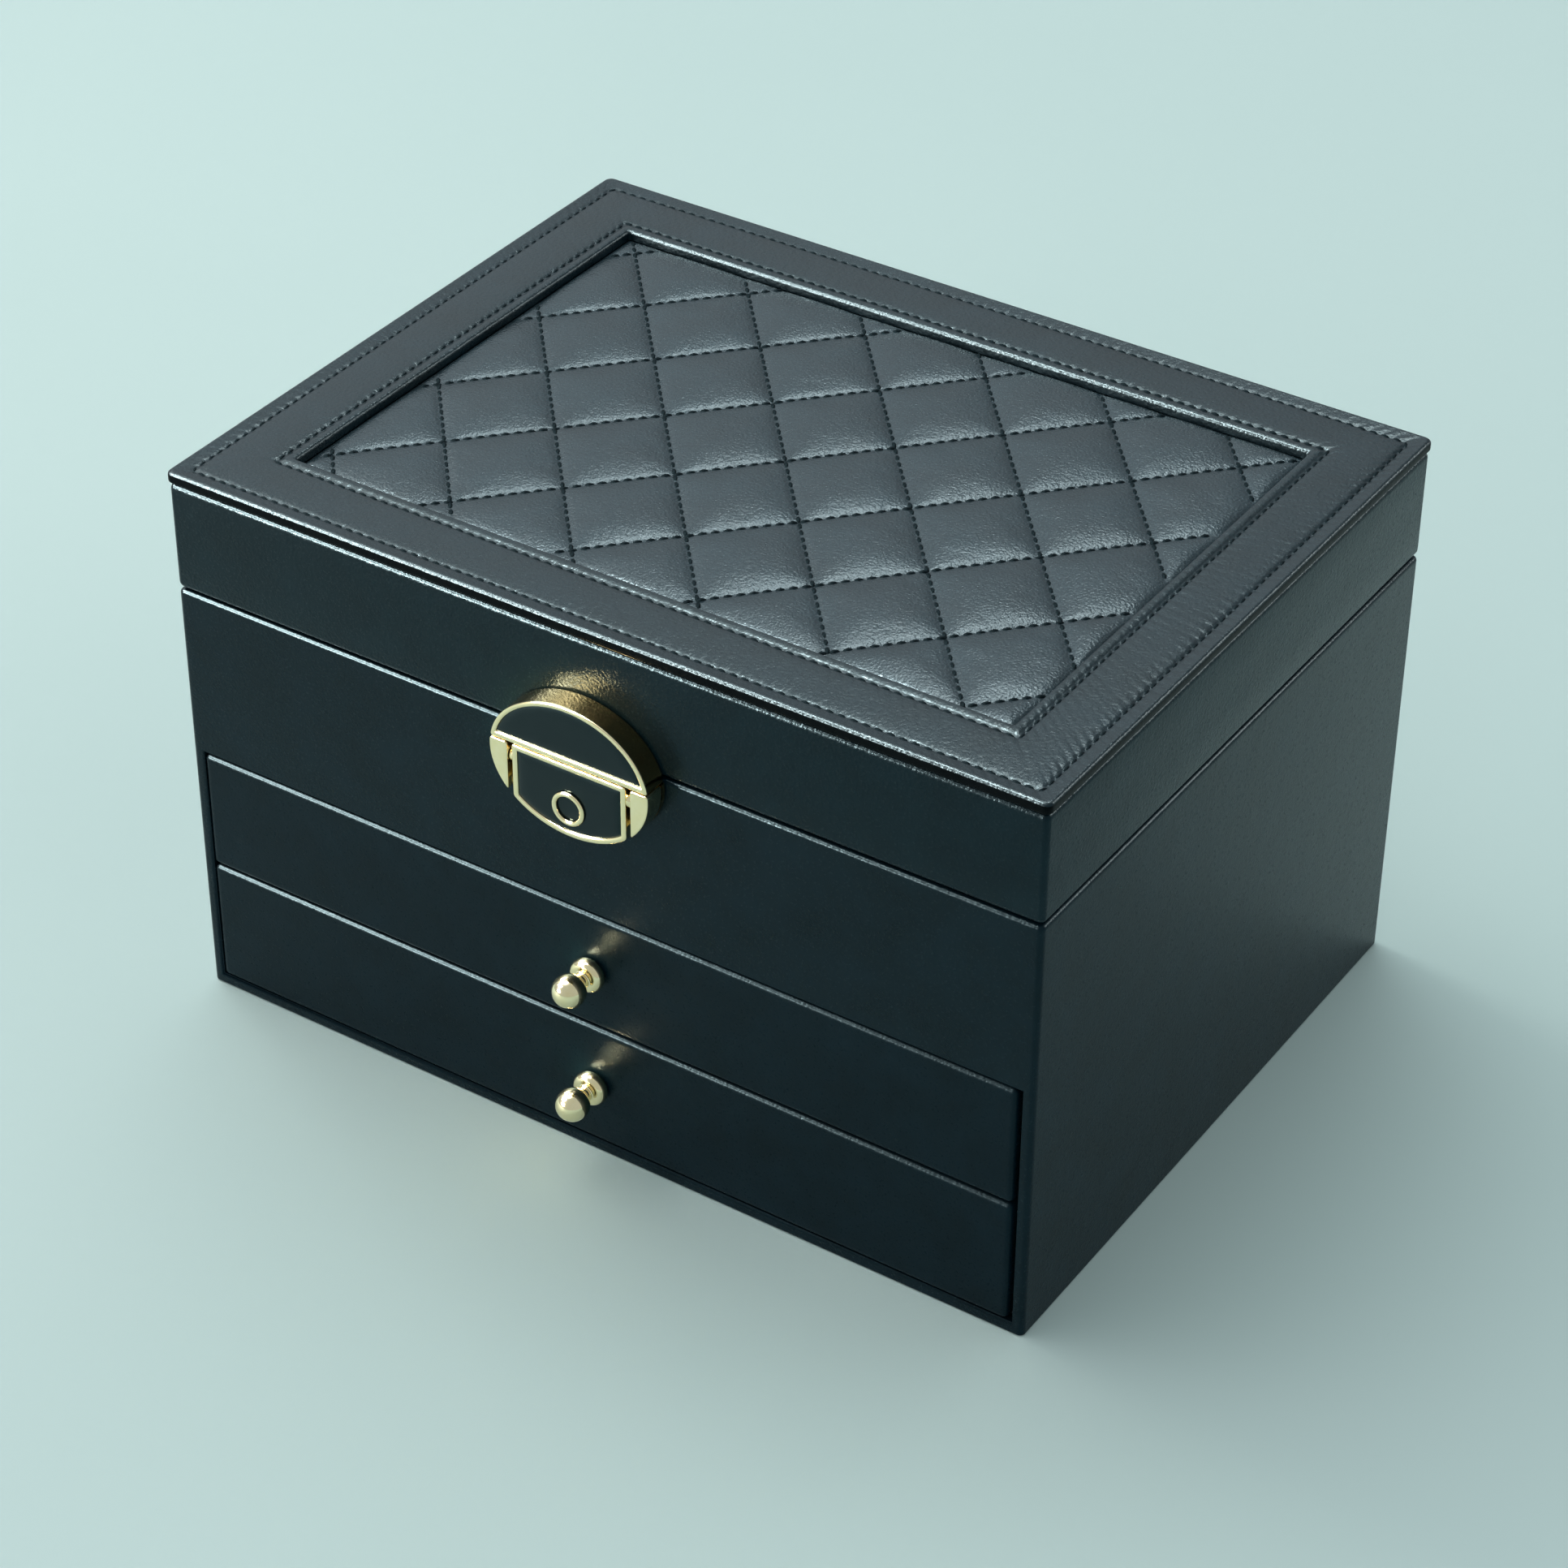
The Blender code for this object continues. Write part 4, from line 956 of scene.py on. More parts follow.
@dataclass
class Drawer:
    """A drawer: its leather front, its knob, and the lined box behind."""

    word: str
    edge_radius: float = 0.0015
    corner_radius: float = 0.0015
    least_corner: float = 0.0003
    back_radius: float = 0.0005
    hold: float = 0.0006
    knob: Knob = field(default_factory=Knob)

    def build(self) -> None:
        """Make the front and the knob, and dress the box."""
        body = "drawer_" + self.word
        node = body + "_front"
        low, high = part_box(node)
        profile = board_profile(high.y - low.y, self.edge_radius, self.back_radius, self.hold)
        outline = shrinking(((high.x - low.x) / 2, (high.z - low.z) / 2), self.corner_radius,
                            self.least_corner, 7, ((low.x + high.x) / 2, (low.z + high.z) / 2))
        patch = stacked(outline, profile, -high.y, Facing.FRONT)
        make_piece(node + "_leather", patch, DRAWER_LEATHER, body, (node,))
        self.knob.build(self.word)
        boards = (body + board for board in ("_side_left", "_side_right", "_back", "_base", "_divider"))
        dress(VELVET, *(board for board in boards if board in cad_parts))
        dress(STEEL, body + "_knob_screw")


@dataclass
class LidShell:
    """The lid's leather skin over its four walls, in one piece round the corners."""

    half: tuple[float, float] = (0.130, 0.097)
    wall: float = 0.0034
    corner_radius: float = 0.0017
    least_corner: float = 0.0001
    edge_radius: float = 0.0018
    arc_steps: int = 8
    edge_steps: int = 5

    def build(self) -> None:
        """Carry the walls' section, a rectangle with round corners, round the plan."""
        low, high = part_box("lid_wall_front")
        half_section = (self.wall / 2, (high.z - low.z) / 2)
        section = rounded_rectangle(half_section, self.edge_radius, self.edge_steps, (3, 1))
        section += np.array([self.wall / 2, (low.z + high.z) / 2])
        outline = shrinking(self.half, self.corner_radius, self.least_corner, self.arc_steps)
        make_piece("lid_leather_shell", stacked(outline, section, 0.0, Facing.TOP, Ends.JOINED),
                   LIT_LID_LEATHER, "lid",
                   ("lid_wall_front", "lid_wall_back", "lid_wall_left", "lid_wall_right"))
        dress(LIT_LID_LEATHER, "lid_top_board")
        dress(VELVET, "lid_lining_panel")
        dress(MIRROR, "mirror")


@dataclass
class LidBorder:
    """The frame round the quilt: one wrapped leather band with two stitched lines and a rolled edge."""

    half: tuple[float, float] = (0.1304, 0.0974)
    width: float = 0.0237
    outer_stitch: float = 0.0049
    inner_stitch: float = 0.0199
    stitch_pitch: float = 0.0034
    outer_edge: float = 0.0010
    lower_edge: float = 0.0006
    groove_depth: float = 0.0002
    groove_width: float = 0.0005
    shoulder_depth: float = 0.00038
    shoulder: float = 0.0015
    lean: float = 0.0002
    roll_radius: float = 0.0028
    roll_edge: float = 0.0011
    pucker: float = 0.00017
    roll_pucker: float = 0.00015
    pucker_reach: float = 0.0030
    tight_side: float = 0.7
    weakest: float = 0.35
    flat_edge: float = 0.0015
    corner_radius: float = 0.0019
    inner_corner_radius: float = 0.0008
    hold: float = 0.0005
    bevel: float = 0.0003
    foot: float = 0.001
    edge_shade_drop: float = 0.00075
    stitch_rise: float = 0.00012
    probe: float = 0.0002
    face_runs: tuple[tuple[float, float, int], ...] = (
        (0.0013, 0.0066, 15), (0.0078, 0.0178, 10), (0.0183, 0.0206, 11))
    side_steps: tuple[int, int] = (250, 330)

    def face_drop(self, inset: np.ndarray) -> np.ndarray:
        """How far the band's face lies below its top.

        It falls straight from the outer edge to the outer stitches. Between the two stitched lines it
        rises from each as an exponential and leans outwards, each line sinks in by a bell curve, and
        from the inner one to the rolled edge it is level.

        Args:
            inset: distances from the band's outer edge.

        Returns:
            The drops.
        """
        lines = (self.outer_stitch, self.inner_stitch)
        grooves = sum(self.groove_depth * np.exp(-((inset - line) / self.groove_width) ** 2)
                      for line in lines)
        shoulders = sum(self.shoulder_depth * np.exp(-np.abs(inset - line) / self.shoulder)
                        for line in lines)
        lean = self.lean * (self.inner_stitch - inset) / (self.inner_stitch - self.outer_stitch)
        strip = (inset - self.outer_edge) / (self.outer_stitch - self.outer_edge)
        outside = (self.shoulder_depth + self.lean) * np.clip(strip, 0, 1)
        face = np.where(inset < self.outer_stitch, outside, shoulders + lean)
        return grooves + np.where(inset < self.inner_stitch, face, self.shoulder_depth)

    def top_profile(self) -> np.ndarray:
        """Rows of inset and drop, from the outer edge over the face to the rolled inner edge."""
        outer, crest, inner = self.outer_edge, self.width - self.roll_edge - self.hold, self.roll_edge
        face = np.concatenate([np.linspace(*run) for run in self.face_runs])
        return np.concatenate([
            arc((outer, outer), outer, 180, 270, 6),
            np.stack([face, self.face_drop(face)], axis=-1),
            arc((crest, self.roll_radius), self.roll_radius, 240, 270, 8),
            arc((self.width - inner, inner), inner, 270, 360, 6)])

    def section(self, thickness: float) -> np.ndarray:
        """The section of a band of a thickness: its top, inner side, bottom and outer side."""
        inner = [(self.width, thickness - self.bevel), (self.width - self.bevel, thickness)]
        outer = arc((self.lower_edge, thickness - self.lower_edge), self.lower_edge, 90, 180, 4)
        return np.concatenate([self.top_profile(), inner, [(self.foot, thickness)], outer])

    def plan_loop(self, inset: float) -> np.ndarray:
        """The band's plan at an inset: its corner radius shrinks evenly towards the recess."""
        share = inset / self.width
        radius = self.corner_radius + (self.inner_corner_radius - self.corner_radius) * share
        half = (self.half[0] - inset, self.half[1] - inset)
        return rounded_rectangle(half, radius, 8, self.side_steps)

    def puckers(self, inset: np.ndarray, loops: np.ndarray) -> np.ndarray:
        """Drops where the thread pulls the leather, between the stitches of each line.

        The drop is a cosine of the distance along the stitched line, with one wave to a stitch, times an
        exponential that fades away from the line, times a slow random strength. It is larger over the
        rolled edge, and on the right side, where the leather was pulled tighter.

        Args:
            inset: each ring's inset.
            loops: the plan's loops, ring by ring.

        Returns:
            The drop of each point.
        """
        strengths = np.random.default_rng(7)
        total = np.zeros(loops.shape[:2])
        for line in (self.outer_stitch, self.inner_stitch):
            ring = self.plan_loop(line)
            steps = np.linalg.norm(np.diff(ring, axis=0, append=ring[:1]), axis=1)
            place = np.cumsum(steps) - steps
            length = steps.sum()
            stitches = round(length / self.stitch_pitch)
            knots = strengths.uniform(self.weakest, 1.0, stitches // 3)
            slow = np.interp(place / length * len(knots), np.arange(len(knots) + 1),
                             np.append(knots, knots[0]))
            wave = np.cos(2 * np.pi * place / length * stitches)
            depth = np.where(inset > self.inner_stitch, self.roll_pucker, self.pucker)
            fade = np.exp(-np.abs(inset - line) / self.pucker_reach) * (inset > self.flat_edge)
            total += (depth * fade)[:, None] * (wave * slow)[None, :]
        return total * (1 + self.tight_side * (loops[..., 0] > self.half[0] - self.width))

    def build_band(self, low: float, high: float) -> None:
        """Carry the section round the plan, and give the outer side below its rounded edge a near-black
        finish: board edge paint, and painted shade of the gap under the band.

        Args:
            low: height of the band's underside.
            high: height of its top.
        """
        section = self.section(high - low)
        loops = np.stack([self.plan_loop(inset) for inset, _ in section])
        rings = faced(loops, high - section[:, 1], Facing.TOP)
        top = np.arange(len(section)) < len(self.top_profile())
        rings[..., 2] -= np.maximum(self.puckers(section[:, 0], loops), 0) * top[:, None]
        piece = make_piece("lid_border_leather", loft(rings, Ends.JOINED), LIT_BORDER_LEATHER, "lid",
                           ("lid_border_front", "lid_border_back", "lid_border_left",
                            "lid_border_right"))
        # The outer side below the rounded edge takes the near-black finish: edge paint, and painted
        # shade of the gap under it
        centres = face_centres(piece)
        outward = (np.abs(centres[:, :2]) > np.array(self.half) - self.lower_edge).any(axis=1)
        repaint(piece, EDGE_PAINT_AND_GAP_SHADE, outward & (centres[:, 2] < high - self.edge_shade_drop))

    def sew_line(self, name: str, line: float, high: float) -> None:
        """Sew stitches all round, half way between the puckers' deepest points.

        Args:
            name: the row's name.
            line: the stitched line's distance from the border's outer edge.
            high: height of the border's top.
        """
        ring = self.plan_loop(line)
        closed = np.concatenate([ring, ring[:1]])
        length = np.linalg.norm(np.diff(closed, axis=0), axis=1).sum()
        stitches = round(length / self.stitch_pitch)
        places = (np.arange(stitches) + 0.5) * length / stitches
        here = along_line(closed, places)
        ahead = along_line(closed, np.minimum(places + self.probe, length))
        along = (ahead - here) / np.linalg.norm(ahead - here, axis=1)[:, None]
        depth = np.full((stitches, 1), high + self.stitch_rise) - self.face_drop(np.array([line]))
        StitchRow().sew(name, np.hstack([here, depth]), np.hstack([along, 0 * depth]), "lid")

    def build(self) -> None:
        """Make the band and sew its two lines."""
        low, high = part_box("lid_border_front")
        self.build_band(low.z, high.z)
        self.sew_line("border_stitches_outer", self.outer_stitch, high.z)
        self.sew_line("border_stitches_inner", self.inner_stitch, high.z)


@dataclass(frozen=True)
class Swelling:
    """A cloth simulation in which wadding swells a cover: air pressure from inside, and no gravity."""

    pressure: float = 4.0
    growth: float = 0.002
    vertex_mass: float = 0.002
    most: float = 0.0006
    frames: int = 20

    def moves(self, cover: Patch, held: np.ndarray) -> np.ndarray:
        """How far each point of a cover moves, while its seams hold some of them.

        Args:
            cover: the cover before it swells.
            held: the numbers of the held points.

        Returns:
            The points' moves, none longer than the most that it may be.
        """
        mesh = bpy.data.meshes.new("cloth_blank")
        mesh.from_pydata(cover.points.tolist(), [], cover.faces)
        blank = bpy.data.objects.new("cloth_blank", mesh)
        scene = bpy.context.scene
        scene.collection.objects.link(blank)
        blank.vertex_groups.new(name="held").add(held.tolist(), 1.0, "REPLACE")
        cloth = blank.modifiers.new("cloth", "CLOTH").settings
        cloth.quality = 6
        cloth.mass = self.vertex_mass
        cloth.use_pressure = True
        cloth.uniform_pressure_force = self.pressure
        cloth.shrink_min = -self.growth
        cloth.vertex_group_mass = "held"
        cloth.effector_weights.gravity = 0.0
        for number in range(1, self.frames + 1):
            scene.frame_set(number)
        swollen = blank.evaluated_get(bpy.context.evaluated_depsgraph_get())
        places = np.empty(len(cover.points) * 3)
        swollen.data.vertices.foreach_get("co", places)
        moves = places.reshape(-1, 3) - cover.points
        bpy.data.objects.remove(blank)
        bpy.data.meshes.remove(mesh)
        scene.frame_set(1)
        lengths = np.linalg.norm(moves, axis=1, keepdims=True)
        LOG.info("cloth: %d points, largest move %.2f mm", len(moves), 1000 * lengths.max())
        return moves * np.minimum(1, self.most / np.maximum(lengths, WELD_DISTANCE))


@dataclass
class QuiltedPad:
    """The padded panel of the lid, quilted by two families of slanting stitched lines."""

    rising: tuple[float, float] = (0.0198, 0.0212)
    falling: tuple[float, float] = (0.0190, -0.0226)
    node: tuple[float, float] = (-0.0041, -0.0024)
    seam_height: float = 0.00105
    cell_height: float = 0.0011
    shoulder: float = 0.0028
    edge_shoulder: float = 0.0032
    edge_drop: float = 0.0008
    edge_reach: float = 0.0011
    dome: float = 0.00012
    dome_noise: float = 0.3
    pucker: float = 0.00008
    pucker_noise: float = 0.4
    pucker_reach: float = 0.0018
    stitch_pitch: float = 0.0033
    stitch_length: float = 0.0027
    stitch_radius: float = 0.00062
    # Waves in radians per cell; their products make each cell a little different
    noise_waves: tuple[float, ...] = (7.3, 2.1, 5.9, 3.7)
    spacing: float = 0.0008
    cloth_spacing: float = 0.0016
    # How wide the held strips are, in steps of the cloth's grid
    seam_hold: float = 0.6
    edge_hold: float = 1.5
    seams: int = 12
    stitch_margin: float = 0.0016
    stitch_rise: float = 0.0002
    least_height: float = 0.0002
    foot_share: float = 0.996
    groove: float = 0.0002
    groove_width: float = 0.0005

    @property
    def lattice(self) -> np.ndarray:
        """The matrix whose columns are the two steps from one crossing to the next."""
        return np.array([self.rising, self.falling]).T

    def seam_gaps(self, x: np.ndarray, y: np.ndarray) -> tuple[np.ndarray, np.ndarray]:
        """Where points lie in the lattice, in cells, and how far they are from both families of seams.

        Args:
            x: plan coordinates.
            y: plan coordinates.

        Returns:
            The places and the distances, each with one more dimension, of two, than x.
        """
        cell = np.einsum("ij,j...->i...", np.linalg.inv(self.lattice),
                         np.stack([x - self.node[0], y - self.node[1]]))
        widths = abs(np.linalg.det(self.lattice)) / np.linalg.norm(self.lattice, axis=0)[::-1]
        return cell, np.abs(cell - np.round(cell)) * widths.reshape(2, *([1] * x.ndim))

    def height(self, x: np.ndarray, y: np.ndarray, half: tuple[float, float]) -> np.ndarray:
        """The pad's height over its base.

        Each cell rises from its seams as 1 - exp(-d / shoulder), where d is a soft minimum of the
        distances to both seams and to the pad's edge, and a low dome lies over it. The thread pulls a
        narrow groove along the seams, with a small pucker between each two stitches. A product of two
        sines, with its waves out of step with the cells, makes each cell a little different.

        Args:
            x: plan coordinates.
            y: plan coordinates.
            half: half the pad's plan.

        Returns:
            Heights of the same shape as x.
        """
        cell, away = self.seam_gaps(x, y)
        lengths = np.linalg.norm(self.lattice, axis=0)
        edge = np.minimum(half[0] - np.abs(x), half[1] - np.abs(y))
        rim = 1 - np.exp(-np.maximum(edge, 0) / self.edge_shoulder)
        plateau = (1 - np.exp(-away[0] / self.shoulder)) * (1 - np.exp(-away[1] / self.shoulder)) * rim
        dome = np.abs(np.sin(np.pi * cell[0]) * np.sin(np.pi * cell[1])) * rim
        waves = self.noise_waves
        noise = (np.sin(waves[0] * cell[0] + waves[1] * cell[1])
                 * np.sin(waves[2] * cell[1] - waves[3] * cell[0]))
        height = self.cell_height * plateau + self.dome * dome * (1 + self.dome_noise * noise)
        for family in (0, 1):
            walk = cell[1 - family] * lengths[1 - family]
            wave = 0.5 + 0.5 * np.cos(2 * np.pi * walk / self.stitch_pitch)
            fade = np.exp(-away[family] / self.pucker_reach)
            height -= self.pucker * wave * fade * (1 - self.pucker_noise * (1 - noise))
            height -= self.groove * np.exp(-(away[family] / self.groove_width) ** 2) * rim
        return self.seam_height + height - self.edge_drop * np.exp(-edge / self.edge_reach)

    def lift(self, x: np.ndarray, y: np.ndarray, half: tuple[float, float]) -> np.ndarray:
        """How far the wadding lifts the cover, by a cloth simulation on a coarser grid.

        The seams and the outer edge hold the cloth. The lift is read off in straight lines between the
        coarse grid's points and then smoothed.

        Args:
            x: the fine grid's plan coordinates.
            y: the fine grid's plan coordinates.
            half: half the pad's plan.

        Returns:
            Lifts of the same shape as x.
        """
        columns, rows = (np.linspace(-size, size, 2 * round(size / self.cloth_spacing) + 1)
                         for size in half)
        across, along = np.meshgrid(columns, rows, indexing="ij")
        cover = sheet(np.stack([across, along, self.height(across, along, half)], axis=-1))
        seam = self.seam_gaps(across, along)[1].min(axis=0) < self.seam_hold * self.cloth_spacing
        rim = np.minimum(half[0] - np.abs(across), half[1] - np.abs(along))
        edge = rim < self.edge_hold * self.cloth_spacing
        moves = Swelling().moves(cover, np.flatnonzero((seam | edge).ravel()))
        shares = [np.stack([np.interp(fine, coarse, unit) for unit in np.eye(len(coarse))], axis=1)
                  for fine, coarse in ((x[:, 0], columns), (y[0], rows))]
        lift = shares[0] @ moves[:, 2].reshape(across.shape) @ shares[1].T
        for axis in (0, 1) * 5:
            lift = (np.roll(lift, 1, axis) + 2 * lift + np.roll(lift, -1, axis)) / 4
        return lift

    def build_cover(self, low: Vector, high: Vector) -> None:
        """The pad as a grid for its face, drawn in at its sides to a flat underside.

        Args:
            low: the lowest corner of its CAD solid.
            high: the highest corner.
        """
        half = (high.x, high.y)
        x, y = np.meshgrid(*(np.linspace(-size, size, 2 * round(size / self.spacing) + 1)
                             for size in half), indexing="ij")
        z = low.z + np.maximum(self.height(x, y, half) + self.lift(x, y, half), self.least_height)
        face = sheet(np.stack([x, y, z], axis=-1))
        number = np.arange(x.size).reshape(x.shape)
        rim = np.concatenate([number[:-1, 0], number[-1, :-1], number[:0:-1, -1], number[0, :0:-1]])
        foot = face.points[rim] * np.array([self.foot_share, self.foot_share, 0.0])
        foot[:, 2] = low.z
        below = np.arange(x.size, x.size + len(rim))
        sides = np.stack([rim, below, np.roll(below, -1), np.roll(rim, -1)], axis=-1)
        patch = Patch(np.concatenate([face.points, foot]),
                      [*face.faces, *sides.tolist(), below.tolist()])
        piece = make_piece("quilted_pad_leather", patch, LIT_QUILT_LEATHER, "lid", ("quilted_pad",))

    def sew_seams(self, low: Vector, high: Vector) -> None:
        """Sew both families of lines: stitches at even steps between the crossings.

        Args:
            low: the lowest corner of the pad's CAD solid.
            high: the highest corner.
        """
        lengths = np.linalg.norm(self.lattice, axis=0)
        places, ways = [], []
        for family in (0, 1):
            step = self.stitch_pitch / lengths[family]
            last = round(self.seams / step)
            walk = (np.arange(-last, last) + 0.5) * step
            line, along = np.meshgrid(np.arange(-self.seams, self.seams + 1), walk, indexing="ij")
            pair = (along, line) if family == 0 else (line, along)
            spots = np.einsum("ij,j...->i...", self.lattice, np.stack(pair)).reshape(2, -1).T
            places.append(spots + np.array(self.node))
            ways.append(np.broadcast_to(self.lattice[:, family] / lengths[family], spots.shape))
        spots, ways = np.concatenate(places), np.concatenate(ways)
        inside = (np.abs(spots) < np.array([high.x, high.y]) - self.stitch_margin).all(axis=1)
        spots, ways = spots[inside], ways[inside]
        z = low.z + self.height(spots[:, 0], spots[:, 1], (high.x, high.y)) + self.stitch_rise
        row = StitchRow(self.stitch_length, self.stitch_radius)
        row.sew("quilt_stitches", np.column_stack([spots, z]),
                np.column_stack([ways, np.zeros(len(ways))]), "lid")

    def build(self) -> None:
        """Make the pad and sew it."""
        low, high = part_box("quilted_pad")
        self.build_cover(low, high)
        self.sew_seams(low, high)


@dataclass
class Latch:
    """The oval latch: a half-moon on the lid, and two ears and a press button on the case."""

    half_width: float = 0.0238
    half_height: float = 0.0192
    centre_z: float = 0.1257
    button_half: float = 0.0171
    button_depth: float = 0.0036
    ear_inner: float = 0.0185
    moon_gap: float = 0.0003
    arc_rim: float = 0.00135
    bar_rim: float = 0.0017
    button_rim: float = 0.0016
    rim_rise: float = 0.0005
    rim_roundness: float = 0.6
    back_bevel: float = 0.0004
    pocket: float = 0.0008
    # How far the pocket's floor runs in below the rim, and where the sides' darker gold, painted shade,
    # begins behind it
    floor_width: float = 0.0003
    shade_start: float = 0.0001
    # The radii of an ear's front and back edges, and the flat ring beside them
    ear_edges: tuple[float, float, float] = (0.0003, 0.0002, 0.0002)
    enamel_gap: float = 0.00003
    enamel_foot: float = 0.0004
    enamel_drop: float = 0.00012
    enamel_sag: float = 0.00034
    enamel_reach: float = 0.0008
    enamel_rings: tuple[float, ...] = (0.0, 0.0001, 0.0004, 0.0009, 0.0016, 0.0026, 0.0038)
    tongue_half: float = 0.006
    tongue_back: float = -0.0988
    tongue_overlap: float = 0.002
    tongue_hook: float = 0.0016
    tongue_neck: float = 0.0011
    hook_low: float = 0.0009
    hook_high: float = 0.002
    barrel_radius: float = 0.0021
    barrel_end: float = 0.0016
    barrel_bevel: tuple[float, float] = (0.0002, 0.0003)
    trim: float = 0.0008
    least_trim: float = 0.00015
    ring_radius: float = 0.0049
    ring_band: float = 0.0007
    side_steps: int = 40
    corner_steps: int = 6
    hold: float = 0.0002

    def oval(self, inset: float, start: float, end: float) -> np.ndarray:
        """The latch's ellipse, drawn in by an inset, from a start to an end angle in radians."""
        turn = np.linspace(start, end, 120)
        return np.stack([(self.half_width - inset) * np.cos(turn),
                         self.centre_z + (self.half_height - inset) * np.sin(turn)], axis=-1)

    def close(self, bow: np.ndarray, corners: list[tuple[float, float]], inset: float) -> np.ndarray:
        """An outline from a bow of the oval and straight sides, its corners rounded.

        Args:
            bow: the bow's points.
            corners: the corners between the bow's end and its start.
            inset: how far the outline is drawn in; its corners are rounded less the larger it is.

        Returns:
            The outline's points.
        """
        stops = [bow[-1], *(np.array(corner) for corner in corners), bow[0]]
        sides = [bow, *(np.array(pair) for pair in zip(stops, stops[1:]))]
        trim = max(self.trim - inset / 2, self.least_trim)
        return filleted(sides, trim, self.side_steps, self.corner_steps)

    def moon(self, inset: float, base: float) -> np.ndarray:
        """The half-moon's outline: the oval above a straight bar.

        Args:
            inset: how far it is drawn in; the bar's share grows with its broader rim.
            base: height of the bar's lower edge.

        Returns:
            The outline's points.
        """
        chord = base + inset * self.bar_rim / self.arc_rim
        start = math.asin((chord - self.centre_z) / (self.half_height - inset))
        return self.close(self.oval(inset, start, math.pi - start), [], inset)

    def button(self, inset: float, top: float) -> np.ndarray:
        """The press button's outline: a straight top and sides, and the oval below.

        Args:
            inset: how far it is drawn in.
            top: height of its upper edge.

        Returns:
            The outline's points.
        """
        side = self.button_half - inset
        start = -math.acos(side / (self.half_width - inset))
        bow = self.oval(inset, -math.pi - start, start)
        return self.close(bow, [(side, top - inset), (-side, top - inset)], inset)

    def ear(self, inset: float, top: float, side: int) -> np.ndarray:
        """An ear's outline: a straight top and inner side, and the oval outside.

        Args:
            inset: how far it is drawn in.
            top: height of its upper edge.
            side: -1 for the left ear and 1 for the right one.

        Returns:
            The outline's points.
        """
        inner = self.ear_inner + inset
        start = -math.acos(inner / (self.half_width - inset))
        end = math.asin((top - inset - self.centre_z) / (self.half_height - inset))
        outline = self.close(self.oval(inset, start, end), [(inner, top - inset)], inset)
        return outline * np.array([side, 1])

    def rimmed_plate(self, outline: Callable[[float], np.ndarray], thickness: float, rim: float,
                     back: float) -> Patch:
        """A plate with a raised, domed rim round a shallow pocket.

        Args:
            outline: its outline, drawn in by an inset.
            thickness: from its back face to the front of its rim.
            rim: the rim's width.
            back: where its back face lies along Y.

        Returns:
            The plate.
        """
        turn = np.linspace(0, np.pi, 12)
        dome = np.stack([rim / 2 * (1 - np.cos(turn)),
                         thickness - self.rim_rise * (1 - np.sin(turn) ** self.rim_roundness)], axis=-1)
        bevel, floor = self.back_bevel, thickness - self.pocket
        profile = np.concatenate([[(bevel, 0), (0, bevel), (0, thickness - self.rim_rise - self.hold)],
                                  dome, [(rim, floor), (rim + self.floor_width, floor)]])
        return stacked(outline, profile, -back, Facing.FRONT)

    def enamel(self, outline: Callable[[float], np.ndarray], thickness: float, rim: float,
               back: float) -> Patch:
        """The poured inlay of a rimmed plate: it meets the rim low and domes towards its middle.

        Args:
            outline: the plate's outline, drawn in by an inset.
            thickness: the plate's thickness.
            rim: the rim's width.
            back: where the plate's back face lies along Y.

        Returns:
            The inlay.
        """
        floor = thickness - self.pocket + self.enamel_gap
        insets = rim + np.array(self.enamel_rings)
        sag = self.enamel_sag * np.exp(-(insets - rim) / self.enamel_reach)
        crown = np.stack([insets, thickness - self.enamel_drop - sag], axis=-1)
        profile = np.concatenate([[(rim + self.enamel_foot, floor), (rim, floor)], crown])
        return stacked(outline, profile, -back, Facing.FRONT)

    def tongue(self, base: float, tip: float) -> Patch:
        """The catch tongue behind the half-moon, a hooked section carried along X.

        Args:
            base: height of the half-moon's lower edge.
            tip: height of the tongue's tip.

        Returns:
            The tongue.
        """
        back, top = self.tongue_back, base + self.tongue_overlap
        hook, neck = back - self.tongue_hook, back - self.tongue_neck
        section = np.array([(back, top), (back, tip), (hook, tip), (hook, tip + self.hook_low),
                            (neck, tip + self.hook_high), (neck, top)])
        rings = np.empty((2, len(section), 3))
        rings[..., 0] = np.array([[-self.tongue_half], [self.tongue_half]])
        rings[..., 1:] = section
        return loft(rings)

    def build_moon(self, top: float) -> None:
        """The half-moon with its catch tongue, and its enamel, over ears whose top is given."""
        low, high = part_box("half_moon_housing")
        base = top + self.moon_gap
        plate = (lambda inset: self.moon(inset, base), high.y - low.y, self.arc_rim, high.y)
        gold = joined([self.rimmed_plate(*plate), self.tongue(base, low.z)])
        moon = make_piece("half_moon_gold", gold, GOLD, "lid", ("half_moon_housing",))
        # The sides behind the pocket take the darker gold: painted shade
        sides = face_centres(moon)[:, 1] > low.y + self.pocket + self.shade_start
        repaint(moon, SHADED_GOLD, sides)
        make_piece("half_moon_enamel", self.enamel(*plate), ENAMEL, "lid", ("half_moon_inlay",))

